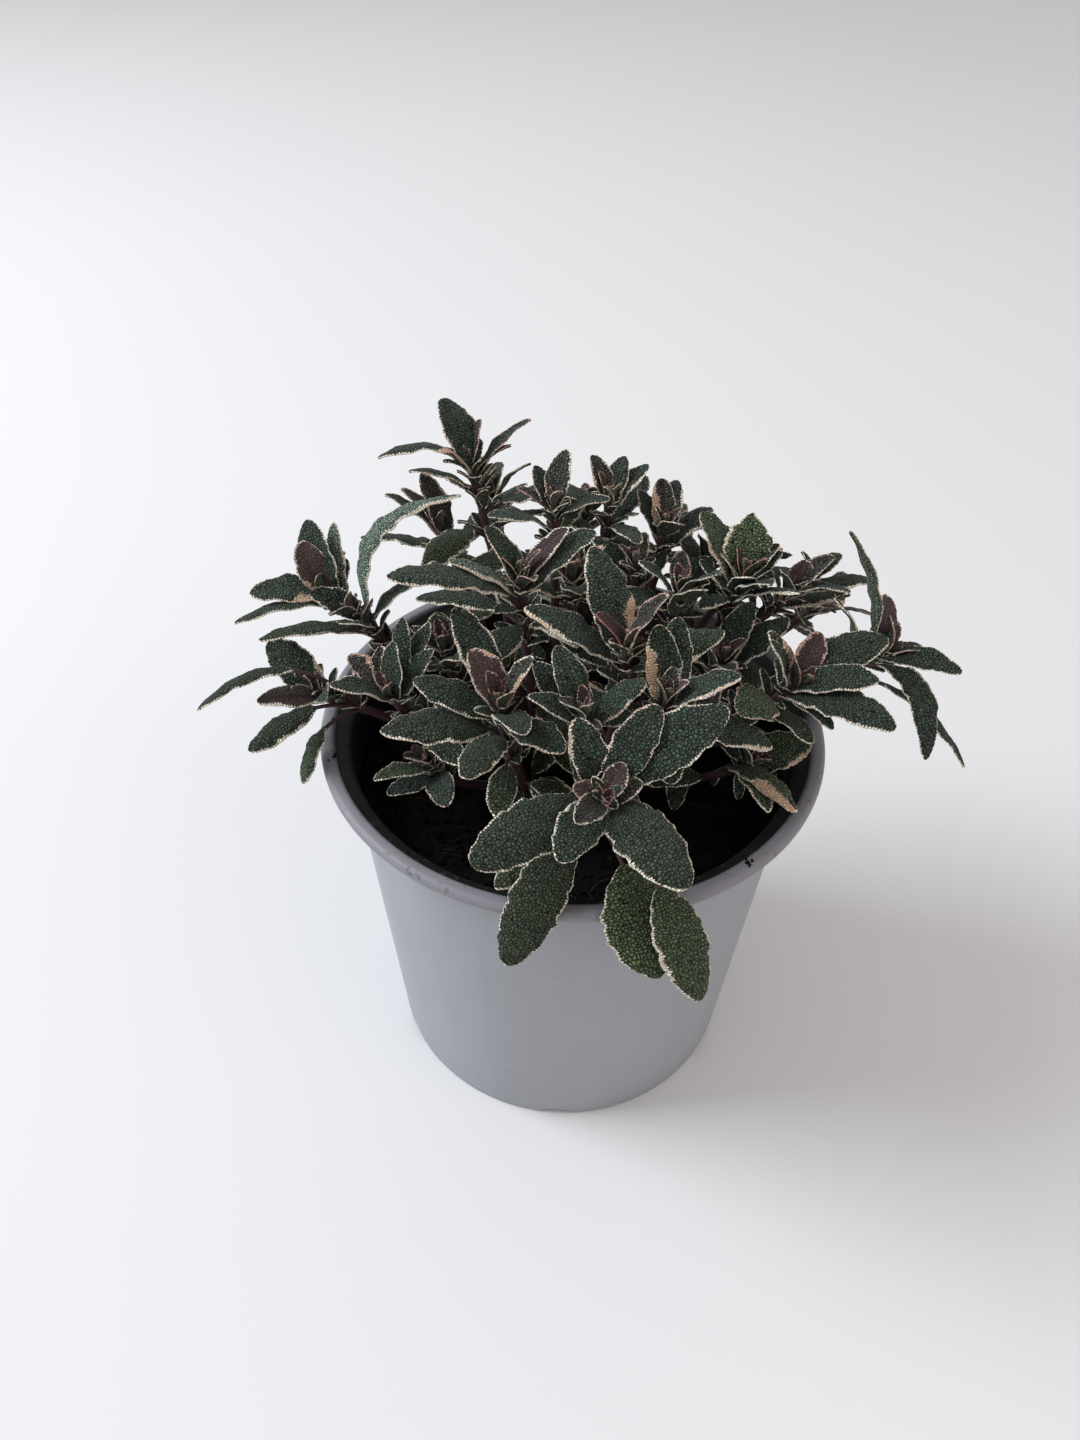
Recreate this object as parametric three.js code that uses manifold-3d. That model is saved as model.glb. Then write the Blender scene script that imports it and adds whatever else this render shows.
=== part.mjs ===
// A variegated sage in a grey nursery pot, in millimetres, +Z up.
// The origin is the centre of the pot's underside, and -Y is the side that is seen first.
import * as THREE from 'three';
import { mergeVertices } from 'three/addons/utils/BufferGeometryUtils.js';
import Module from 'manifold-3d';

const wasm = await Module();
wasm.setup();

// Pot: a tapered nursery pot with a rolled rim, a flat foot ring and a drained channel under its floor
const POT_HEIGHT = 164;
const RIM_RADIUS = 95;
const RIM_MOUTH = 89.5;
const RIM_DEPTH = 5;
const RIM_ROUND = 2;
const NECK_RADIUS = 85.5;
const BASE_RADIUS = 74;
const WALL = 1.6;
const FLOOR = 5.5;
const FOOT_INNER = 67;
const CHANNEL_INNER = 30;
const CHANNEL_DEPTH = 3;
const POT_SIDES = 30;
const DRAINS = 6;
const DRAIN_RADIUS = 5;
const DRAIN_CIRCLE = 52;
const DRAIN_SIDES = 6;
const NOTCH_HEIGHT = 4.2;
const NOTCH_HALF_WIDTH = 7.5;
const NOTCH_DEPTH = 20;
const NOTCH_STEPS = 4;
const NOTCH_SINK = 0.5;
const CUT_CLEAR = 1;

// Potting soil, loose on top, with a plain hole for each stem
const SOIL_TOP = 139;
const SOIL_GAP = 0.7;
const SOIL_RINGS = [24, 50, 73];
const SOIL_SIDES = 20;
const SOIL_LUMP = 1.1;
const HOLE_DEPTH = 12;
const HOLE_RADIUS = 2.8;
const HOLE_SIDES = 5;
const HOLE_ABOVE = 10;

// Square stems rise from the soil inside the pot and turn up at the crown
const STEM_FOOT = 1.9;
const STEM_TIP = 1.25;
const STEM_SIDES = 4;
const STEM_RINGS = 5;
const STEM_START = 1;
const ROOT_PULL = 0.5;
const ROOT_PULL_FAR = 0.12;
const SPREAD = 0.8;
const SPREAD_FAR = 0.25;
const LIFT = 0.45;
const LIFT_FAR = 0.4;
const UPRIGHT = 1;
const STEM_MARKS = 64;

// Leaves stand in crossed pairs, listed here from the youngest pair at the crown down the stem
const PAIR_DROP = [1, 3, 6, 10, 15, 22, 31, 42];
const PAIR_REACH = [8, 14, 22, 31, 38, 44, 48, 48];
const PAIR_RISE = [74, 62, 50, 38, 26, 12, -2, -14];
const PAIR_STALK = [0, 0.02, 0.06, 0.12, 0.17, 0.22, 0.26, 0.3];
const PAIR_ARCH = [0.03, 0.06, 0.1, 0.12, 0.14, 0.16, 0.18, 0.18];
const PAIR_CUP = [0.5, 0.45, 0.35, 0.25, 0.16, 0.1, 0.06, 0.06];

// Shares of the blade that get a ring of corners: fewer on the pairs up to the half-grown one
const HALF_GROWN_PAIR = 3;
const STATIONS_HALF_GROWN = [0.28, 0.76];
const STATIONS_GROWN = [0, 0.25, 0.78];

// The leaves of the two youngest pairs are too small for the solids and only keep their room
const FIRST_PAIR = 2;
const SLENDER = 0.44;
const BELLY = 1.1;
const POINT = 0.48;
const ARCH_GAIN = 1.2;
const BLADE_ABOVE = 0.4;
const BLADE_BELOW = 0.9;
const STALK_HALF_WIDTH = 0.8;
const CONTROL = 0.45;
const TURN_BY = 0.4;

// Room kept between leaves of different stems, between leaves of one stem, and from the pot and soil
const STEP = 1.8;
const CLEAR = 3.1;
const CLEAR_OWN = 2.2;
const CLEAR_NOTED = 0.9;
const NEAR_OWN = 10;
const NEAR_NOTED = 16;
const CLEAR_POT = 2;
const CLEAR_SOIL = 3;

// Turns and rises in degrees, lengths and lifts that a crowded leaf tries in turn
const NUDGES = [
  [0, 0], [9, 0], [-9, 0], [0, 9], [0, -9], [14, 8], [-14, 8], [0, 18],
  [20, -6], [-20, -6], [26, 6], [-26, 6], [0, 28],
];
const SHRINKS = [1, 0.82, 0.66];
const LIFTS = [0, 4, -4, 8, -8];
const SEED = 20;
const CELLS = 1000;
const MERGE_WITHIN = 1e-4;

// A leaf that stands out: its pair, its tip measured from the crown, and what is its own about it
const noted = (pair, tip, own = {}) => ({ pair, tip, slender: SLENDER, roll: 0, arch: 1, ...own });

// Every leafy stem: its crown, the heading of its youngest pair, its pairs, its size and the leaves that stand out
const SHOOTS = [
  { name: 'front', crown: [11, -84, 204], turn: 60, pairs: 7, size: 1.05, leaves: [
    noted(1, [5, 10, 8], { slender: 0.6 }),
    noted(1, [-10, 2, 5], { slender: 0.66 }),
    noted(2, [11, 7, 3], { slender: 0.62 }),
    noted(3, [-10, 21, 15], { slender: 0.5 }),
    noted(3, [15, 24, 19]),
    noted(4, [36, 24, 19]),
    noted(4, [-13, -20, -4], { slender: 0.5 }),
    noted(5, [-38, -22, -5]),
    noted(5, [23, -30, -1]),
    noted(6, [-29, -21, -54], { slender: 0.4 }),
    noted(7, [20, -23, -54], { slender: 0.7, stalk: 0.44 }),
    noted(6, [34, -25, -62], { slender: 0.46, stalk: 0.48, arch: 1.4 }),
    noted(7, [-33, -5, -36], { slender: 0.4 }),
  ] },
  { name: 'centre_left', crown: [-23, -49, 212], turn: 50, pairs: 7, size: 1, leaves: [
    noted(2, [-10, 7, 15], { slender: 0.55 }),
    noted(3, [-16, 21, 21], { slender: 0.36 }),
    noted(2, [10, 5, 15], { slender: 0.36 }),
    noted(4, [-29, 8, 1]),
    noted(5, [-37, -12, 0], { slender: 0.42 }),
    noted(4, [21, -21, -1]),
    noted(5, [-8, -32, -7], { slender: 0.4 }),
    noted(6, [1, -26, -26], { slender: 0.5, stalk: 0.4 }),
  ] },
  { name: 'centre', crown: [4, -54, 214], turn: 20, pairs: 5, size: 0.8, leaves: [
    noted(2, [5, -7, -1]),
    noted(3, [-18, -1, 6]),
    noted(3, [-10, 16, 13]),
    noted(4, [18, 3, 11]),
    noted(4, [-17, 16, 6]),
  ] },
  { name: 'centre_right', crown: [30, -46, 214], turn: 80, pairs: 6, size: 0.95, leaves: [
    noted(3, [-4, 16, 17]),
    noted(4, [3, 22, 16]),
    noted(2, [14, -5, 7]),
    noted(3, [21, -4, 13]),
  ] },
  { name: 'middle', crown: [17, -32, 224], turn: 40, pairs: 7, size: 1, leaves: [
    noted(1, [-11, 1, 11]),
    noted(2, [11, 0, 16]),
    noted(4, [-13, 24, 21], { slender: 0.42 }),
    noted(4, [-34, 5, 9], { slender: 0.4 }),
    noted(5, [32, 12, -2]),
  ] },
  { name: 'upper_centre', crown: [-19, -10, 234], turn: 100, pairs: 7, size: 1, leaves: [
    noted(3, [-12, 5, 15]),
    noted(2, [15, 11, 12], { slender: 0.36 }),
    noted(3, [24, 11, 11]),
    noted(4, [-23, -8, 10], { slender: 0.3 }),
    noted(4, [-40, -23, 13], { slender: 0.34 }),
    noted(5, [-39, 18, -24], { slender: 0.3 }),
    noted(5, [-9, -25, -18], { slender: 0.54 }),
    noted(6, [20, -22, -12], { slender: 0.28, arch: 1.5 }),
  ] },
  { name: 'left_inner', crown: [-65, -25, 194], turn: 30, pairs: 6, size: 0.75, leaves: [
    noted(3, [16, 10, 11], { slender: 0.5 }),
    noted(2, [-3, 12, 10], { slender: 0.5 }),
    noted(2, [-14, 10, 7]),
    noted(3, [-17, -8, 8]),
    noted(4, [4, 21, 16], { slender: 0.3 }),
    noted(4, [13, 23, 13], { slender: 0.3 }),
  ] },
  { name: 'left_upper', crown: [-83, 6, 204], turn: 70, pairs: 6, size: 0.8, leaves: [
    noted(3, [26, 6, 11]),
    noted(4, [39, 34, 30], { slender: 0.22, arch: 2.8, stalk: 0.1 }),
    noted(2, [8, 6, 0], { slender: 0.5 }),
    noted(5, [-29, -16, -2], { slender: 0.26 }),
  ] },
  { name: 'left_outer', crown: [-95, 15, 206], turn: 60, pairs: 5, size: 0.85, leaves: [
    noted(3, [-4, 12, 23], { slender: 0.5 }),
    noted(4, [5, 14, 21], { slender: 0.36 }),
    noted(2, [-5, 6, 13], { slender: 0.55 }),
    noted(2, [9, 9, 12], { slender: 0.5 }),
    noted(3, [-24, -6, 6], { slender: 0.42, roll: 25 }),
    noted(4, [-28, -16, -4], { slender: 0.26 }),
  ] },
  { name: 'left_low', crown: [-96, -18, 184], turn: 10, pairs: 6, size: 0.9, leaves: [
    noted(5, [-39, -5, -5], { slender: 0.2, arch: 2.0, stalk: 0.42 }),
    noted(3, [-15, 15, 12], { slender: 0.5 }),
    noted(2, [0, 12, 9], { slender: 0.3 }),
    noted(2, [4, 11, 6], { slender: 0.5 }),
    noted(4, [-17, -3, -1], { slender: 0.5 }),
    noted(5, [-15, -25, -5], { slender: 0.42, stalk: 0.42, roll: 20 }),
    noted(5, [0, -20, -25], { slender: 0.5, stalk: 0.42, arch: 1.4 }),
  ] },
  { name: 'top_left', crown: [-44, 66, 234], turn: 65, pairs: 7, size: 1, leaves: [
    noted(3, [-11, 12, 19], { slender: 0.48 }),
    noted(2, [-11, 10, 13], { slender: 0.5 }),
    noted(1, [4, 8, 13]),
    noted(3, [23, 12, 12], { slender: 0.3 }),
    noted(2, [16, 6, 4], { slender: 0.3 }),
    noted(4, [-31, -21, 11], { slender: 0.34, arch: 2.0 }),
    noted(4, [-22, -10, 0], { slender: 0.36 }),
    noted(1, [-13, 0, 4], { slender: 0.5 }),
  ] },
  { name: 'top_centre', crown: [-10, 39, 234], turn: 15, pairs: 7, size: 0.85, leaves: [
    noted(2, [4, 8, 16]),
    noted(3, [-8, 10, 8]),
    noted(4, [-23, -15, 1]),
    noted(3, [20, -7, 5]),
    noted(2, [-14, 2, 3]),
  ] },
  { name: 'top_middle', crown: [10, 44, 234], turn: 55, pairs: 7, size: 0.85, leaves: [
    noted(2, [-7, 9, 11]),
    noted(3, [14, 9, 8]),
    noted(3, [5, 11, 10]),
    noted(4, [11, -26, -4], { slender: 0.34 }),
  ] },
  { name: 'top_right', crown: [31, 41, 224], turn: 95, pairs: 6, size: 0.85, leaves: [
    noted(2, [-2, 11, 13]),
    noted(3, [4, 12, 12]),
    noted(3, [-10, 11, 8]),
    noted(4, [18, 8, 3], { slender: 0.5 }),
  ] },
  { name: 'mid_right', crown: [37, 17, 214], turn: 30, pairs: 6, size: 0.85, leaves: [
    noted(2, [0, 15, 5]),
    noted(2, [10, -2, 3]),
    noted(3, [-16, -3, 11]),
    noted(3, [12, -11, 13]),
    noted(4, [12, 24, -3]),
  ] },
  { name: 'right_upper', crown: [83, 31, 204], turn: 35, pairs: 6, size: 0.9, leaves: [
    noted(1, [2, 6, 9], { slender: 0.6 }),
    noted(3, [15, 9, 11], { slender: 0.36 }),
    noted(3, [17, -7, 5], { slender: 0.36, arch: 1.5 }),
    noted(5, [29, 7, 2], { slender: 0.34, stalk: 0.45 }),
    noted(4, [-22, 9, 12], { slender: 0.28 }),
    noted(5, [-27, 10, 1], { slender: 0.24, stalk: 0.15, arch: 1.5 }),
  ] },
  { name: 'right_front', crown: [79, -18, 199], turn: 75, pairs: 7, size: 1, leaves: [
    noted(2, [-13, 11, 14]),
    noted(2, [5, 13, 13], { slender: 0.5 }),
    noted(5, [29, 14, 11], { slender: 0.46, stalk: 0.34 }),
    noted(3, [22, -9, 6], { slender: 0.44, roll: -15 }),
    noted(4, [26, -25, 3], { slender: 0.38, roll: -20 }),
    noted(3, [9, -16, -6]),
    noted(4, [-25, -24, 6], { slender: 0.54 }),
    noted(5, [2, -20, -9], { slender: 0.44 }),
    noted(1, [12, 0, 3], { slender: 0.55 }),
  ] },
  { name: 'far_right', crown: [115, 7, 194], turn: 25, pairs: 6, size: 0.95, leaves: [
    noted(3, [-22, 12, 44], { slender: 0.2, roll: -30 }),
    noted(3, [-1, 19, 17], { slender: 0.5 }),
    noted(1, [10, -4, 0], { slender: 0.6 }),
    noted(2, [10, -2, 5], { slender: 0.5 }),
    noted(3, [21, -14, 4], { slender: 0.34, roll: -35 }),
    noted(4, [10, -34, -16], { slender: 0.3, roll: -35, arch: 2.4 }),
    noted(5, [28, -27, -29], { slender: 0.2, stalk: 0.3 }),
    noted(5, [-21, 5, 4], { slender: 0.5 }),
  ] },
  { name: 'back_right', crown: [61, 27, 214], turn: 50, pairs: 6, size: 0.95, leaves: [
    noted(3, [2, 15, 16], { slender: 0.56 }),
    noted(2, [12, 7, 8]),
    noted(2, [-12, 6, 8]),
    noted(5, [16, -22, 7], { slender: 0.3 }),
  ] },
  { name: 'right_inner', crown: [54, 2, 194], turn: 85, pairs: 5, size: 0.95, leaves: [
    noted(3, [9, 13, 15], { slender: 0.42 }),
    noted(4, [23, 11, 10], { slender: 0.42 }),
    noted(4, [-8, -4, 9]),
  ] },
  { name: 'right_low', crown: [66, -30, 172], turn: 20, pairs: 4, size: 0.8, leaves: [
    noted(3, [19, 6, 5], { slender: 0.6 }),
    noted(2, [-1, 5, 1], { slender: 0.5 }),
    noted(3, [-5, -4, -15], { slender: 0.55 }),
    noted(4, [-14, 6, -18], { slender: 0.5 }),
    noted(4, [2, -22, -6], { slender: 0.42, arch: 1.5 }),
    noted(5, [11, -23, -4], { slender: 0.36, arch: 1.5 }),
  ] },
  { name: 'left_front_low', crown: [-52, -34, 168], turn: 45, pairs: 5, size: 0.7, leaves: [
    noted(3, [-15, -15, 6], { slender: 0.34 }),
    noted(3, [11, -21, 1]),
    noted(2, [-6, -5, 8]),
  ] },
  { name: 'left_middle', crown: [-48, -2, 198], turn: 15, pairs: 6, size: 0.8, leaves: [
    noted(3, [-5, 20, -3]),
    noted(4, [9, -18, 7]),
  ] },
  { name: 'upper_left', crown: [-56, 60, 205], turn: 40, pairs: 5, size: 0.9, leaves: [
    noted(3, [-21, 2, 15], { slender: 0.4 }),
    noted(2, [-15, 5, 16], { slender: 0.4 }),
    noted(3, [-15, -6, -2], { slender: 0.5 }),
    noted(4, [-30, -9, 2], { slender: 0.34 }),
    noted(2, [-7, 7, 22], { slender: 0.4 }),
  ] },
  { name: 'back_left', crown: [-40, 94, 204], turn: 70, pairs: 5, size: 0.9, leaves: [] },
  { name: 'back', crown: [2, 86, 206], turn: 20, pairs: 6, size: 0.9, leaves: [] },
  { name: 'back_centre_right', crown: [38, 82, 198], turn: 75, pairs: 5, size: 0.9, leaves: [] },
  { name: 'back_far_right', crown: [73, 72, 188], turn: 30, pairs: 5, size: 0.9, leaves: [] },
  { name: 'right_back', crown: [100, 46, 188], turn: 60, pairs: 5, size: 0.85, leaves: [] },
  { name: 'back_inner_right', crown: [50, 48, 204], turn: 40, pairs: 5, size: 0.95, leaves: [] },
  { name: 'centre_back', crown: [-2, 16, 217], turn: 10, pairs: 5, size: 0.95, leaves: [] },
  { name: 'mid_back', crown: [20, 20, 222], turn: 80, pairs: 5, size: 0.9, leaves: [] },
  { name: 'low_centre', crown: [-20, -36, 180], turn: 25, pairs: 4, size: 0.95, leaves: [] },
  { name: 'low_right', crown: [44, -22, 180], turn: 65, pairs: 4, size: 1, leaves: [] },
];

const POT_FINISH = { color: 0x8a8c92, roughness: 0.55, metalness: 0 };
const SOIL_FINISH = { color: 0x1d1814, roughness: 0.95, metalness: 0 };
const LEAF_FINISH = { color: 0x4c6150, roughness: 0.8, metalness: 0 };

const { degToRad, radToDeg, smoothstep, euclideanModulo } = THREE.MathUtils;
const UP = new THREE.Vector3(0, 0, 1);

// Closed geometry as a solid that can be joined and cut
function solidOf(geometry) {
  const bare = geometry.clone();
  bare.deleteAttribute('normal');
  bare.deleteAttribute('uv');
  const merged = mergeVertices(bare, MERGE_WITHIN);
  return new wasm.Manifold(new wasm.Mesh({
    numProp: 3,
    vertProperties: new Float32Array(merged.attributes.position.array),
    triVerts: new Uint32Array(merged.index.array),
  }));
}

function geometryOf(solid) {
  const { vertProperties, triVerts } = solid.getMesh();
  const geometry = new THREE.BufferGeometry();
  geometry.setAttribute('position', new THREE.BufferAttribute(vertProperties, 3));
  geometry.setIndex(new THREE.BufferAttribute(triVerts, 1));
  geometry.computeVertexNormals();
  return geometry;
}

function meshOf(name, solid, finish) {
  const mesh = new THREE.Mesh(
    geometryOf(solid),
    new THREE.MeshStandardMaterial({ ...finish, flatShading: true }),
  );
  mesh.name = name;
  return mesh;
}

// Seeded draws between 0 and 1
class Draw {
  constructor(seed) {
    this.state = seed >>> 0;
  }

  unit() {
    this.state = (this.state + 0x6d2b79f5) >>> 0;
    let t = this.state;
    t = Math.imul(t ^ (t >>> 15), t | 1) >>> 0;
    t = (t ^ (t + (Math.imul(t ^ (t >>> 7), t | 61) >>> 0))) >>> 0;
    return ((t ^ (t >>> 14)) >>> 0) / 4294967296;
  }

  between(low, high) {
    return low + (high - low) * this.unit();
  }
}

// A bow from one point to another, drawn towards a third
class Bow {
  constructor(start, middle, end) {
    this.start = start;
    this.middle = middle;
    this.end = end;
  }

  point(t) {
    return new THREE.Vector3()
      .addScaledVector(this.start, (1 - t) ** 2)
      .addScaledVector(this.middle, 2 * t * (1 - t))
      .addScaledVector(this.end, t ** 2);
  }

  heading(t) {
    const first = this.middle.clone().sub(this.start);
    const last = this.end.clone().sub(this.middle);
    return first.multiplyScalar(2 * (1 - t)).addScaledVector(last, 2 * t).normalize();
  }
}

// The stem of a shoot, from the soil to its crown: far crowns root nearer the middle and rise before they lean
class Stem {
  constructor(shoot) {
    const crown = new THREE.Vector3(...shoot.crown);
    const reach = Math.hypot(crown.x, crown.y);
    const pull = ROOT_PULL - ROOT_PULL_FAR * smoothstep(reach, 40, 100);
    const far = smoothstep(reach, 55, 95);
    const spread = SPREAD - SPREAD_FAR * far;
    const lift = LIFT + LIFT_FAR * far;
    const root = new THREE.Vector3(crown.x * pull, crown.y * pull, SOIL_TOP + STEM_START);
    const middle = new THREE.Vector3(
      root.x + spread * (crown.x - root.x),
      root.y + spread * (crown.y - root.y),
      SOIL_TOP + lift * (crown.z - SOIL_TOP),
    );
    this.bow = new Bow(root, middle, crown);
    this.marks = Array.from({ length: STEM_MARKS + 1 }, (_, i) => this.bow.point(i / STEM_MARKS));
    this.length = this.marks.slice(1).reduce((sum, p, i) => sum + p.distanceTo(this.marks[i]), 0);
  }

  // The point a given length below the crown, and the axis that its leaves stand round
  below(drop) {
    let passed = 0;
    let i = STEM_MARKS - 1;
    const piece = (j) => this.marks[j + 1].distanceTo(this.marks[j]);
    while (i > 0 && passed + piece(i) < drop) {
      passed += piece(i);
      i -= 1;
    }
    const share = Math.min((drop - passed) / piece(i), 1);
    const t = (i + 1 - share) / STEM_MARKS;
    return {
      point: this.bow.point(t),
      axis: this.bow.heading(t).addScaledVector(UP, UPRIGHT).normalize(),
    };
  }

  // Two directions square to an axis, the first one towards +X
  static frame(axis) {
    const first = new THREE.Vector3(1, 0, 0).addScaledVector(axis, -axis.x).normalize();
    return [first, axis.clone().cross(first)];
  }
}

// A leaf from its stem to its tip, arched towards its upper side
class Leaf {
  constructor(build) {
    Object.assign(this, build);
    this.chord = this.tip.clone().sub(this.base);
    const middle = this.base.clone()
      .addScaledVector(this.chord, CONTROL)
      .addScaledVector(this.up, 2 * this.arch);
    this.bow = new Bow(this.base, middle, this.tip);
    this.across = this.chord.clone().cross(this.up).normalize();
  }

  // The midrib at a share of the length, with the blade's sideways and upward directions there
  at(t) {
    const heading = this.bow.heading(t);
    const face = this.across.clone().cross(heading);
    const turn = this.roll * Math.min(t / TURN_BY, 1);
    return {
      point: this.bow.point(t),
      heading,
      side: this.across.clone().multiplyScalar(Math.cos(turn)).addScaledVector(face, Math.sin(turn)),
      face: face.clone().multiplyScalar(Math.cos(turn)).addScaledVector(this.across, -Math.sin(turn)),
    };
  }

  // Half the width: a stalk, then a blade that is widest before its middle
  half(t) {
    const s = Math.min(Math.max((t - this.stalk) / (1 - this.stalk), 0), 1);
    const blade = Math.max(Math.sin(Math.PI * s ** BELLY), 0) ** POINT;
    return Math.max((this.width / 2) * blade, STALK_HALF_WIDTH);
  }

  // Points spread over the blade
  points() {
    const long = Math.ceil((this.chord.length() + ARCH_GAIN * this.arch) / STEP);
    const wide = Math.ceil(this.width / STEP);
    const found = [];
    for (let i = 0; i <= long; i += 1) {
      const { point, side, face } = this.at(i / long);
      const half = this.half(i / long);
      for (let j = 0; j <= wide; j += 1) {
        const u = (2 * j) / wide - 1;
        found.push(point.clone()
          .addScaledVector(side, u * half)
          .addScaledVector(face, this.cup * half * Math.abs(u)));
      }
    }
    return found;
  }

  // Three corners round the midrib: the two edges, raised by half the cup, and the rib underneath
  ring(t, half, cup) {
    const { point, side, face } = this.at(t);
    const corner = (u, w) => point.clone().addScaledVector(side, u).addScaledVector(face, w);
    const edge = BLADE_ABOVE + (cup * half) / 2;
    return [corner(-half, edge), corner(half, edge), corner(0, -BLADE_BELOW)];
  }

  solid() {
    const rings = [this.ring(0, STALK_HALF_WIDTH, 0)];
    const stations = this.pair > HALF_GROWN_PAIR ? STATIONS_GROWN : STATIONS_HALF_GROWN;
    for (const s of stations) {
      const t = this.stalk + (1 - this.stalk) * s;
      if (t > 0) rings.push(this.ring(t, this.half(t), s > 0 ? this.cup : 0));
    }
    return loft(rings, this.tip);
  }
}

// A closed skin over rings of corners and a point at its end
function loft(rings, tip) {
  const count = rings[0].length;
  const corners = [...rings.flat(), tip];
  const index = [];
  for (let k = 2; k < count; k += 1) index.push(0, k, k - 1);
  for (let i = 0; i + 1 < rings.length; i += 1) {
    for (let k = 0; k < count; k += 1) {
      const a = i * count + k;
      const b = i * count + ((k + 1) % count);
      const [c, d] = [b + count, a + count];
      index.push(a, b, c, a, c, d);
    }
  }
  const last = (rings.length - 1) * count;
  for (let k = 0; k < count; k += 1) index.push(last + k, last + ((k + 1) % count), corners.length - 1);
  const geometry = new THREE.BufferGeometry().setFromPoints(corners);
  geometry.setIndex(index);
  return solidOf(geometry);
}

// The pot's outer radius at a height, below its rim
function potRadius(z) {
  const share = Math.min(Math.max(z / (POT_HEIGHT - RIM_DEPTH), 0), 1);
  return BASE_RADIUS + (NECK_RADIUS - BASE_RADIUS) * share;
}

// True where a leaf's point would touch the pot or the soil
function blocked(p) {
  const r = Math.hypot(p.x, p.y);
  const neck = POT_HEIGHT - RIM_DEPTH;
  const outer = potRadius(p.z);
  const rim = p.z < POT_HEIGHT + CLEAR_POT && p.z > neck - CLEAR_POT
    && r > NECK_RADIUS - WALL - CLEAR_POT && r < RIM_RADIUS + CLEAR_POT;
  const wall = p.z < neck && r > outer - WALL - CLEAR_POT && r < outer + CLEAR_POT;
  const soil = p.z < SOIL_TOP + CLEAR_SOIL && r < outer;
  return rim || wall || soil;
}

// Everything grown so far, in cells as wide as the room that leaves keep
class Thicket {
  constructor() {
    this.cells = new Map();
  }

  key(x, y, z) {
    return (x + CELLS / 2) + CELLS * ((y + CELLS / 2) + CELLS * (z + CELLS / 2));
  }

  add(points, base, shoot, pair) {
    for (const point of points) {
      const own = base ? point.distanceTo(base) : 0;
      const key = this.key(...point.toArray().map((v) => Math.floor(v / CLEAR)));
      if (!this.cells.has(key)) this.cells.set(key, []);
      this.cells.get(key).push({ point, own, shoot, pair });
    }
  }

  // True where the leaf keeps its room from every leaf and stem. Young leaves may close on their own crown.
  hasRoomFor(leaf, points) {
    const near = leaf.noted ? NEAR_NOTED : NEAR_OWN;
    const clearOwn = leaf.noted ? CLEAR_NOTED : CLEAR_OWN;
    return points.every((point) => {
      if (blocked(point)) return false;
      const own = point.distanceTo(leaf.base);
      const [x, y, z] = point.toArray().map((v) => Math.floor(v / CLEAR));
      for (let i = x - 1; i <= x + 1; i += 1) {
        for (let j = y - 1; j <= y + 1; j += 1) {
          for (let k = z - 1; k <= z + 1; k += 1) {
            for (const other of this.cells.get(this.key(i, j, k)) ?? []) {
              const same = other.shoot === leaf.shoot;
              const apart = point.distanceTo(other.point);
              if (!same && apart < CLEAR) return false;
              const tests = same && leaf.pair > 1 && other.pair > 1;
              if (tests && own > near && other.own > near && apart < clearOwn) return false;
            }
          }
        }
      }
      return true;
    });
  }
}

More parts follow.
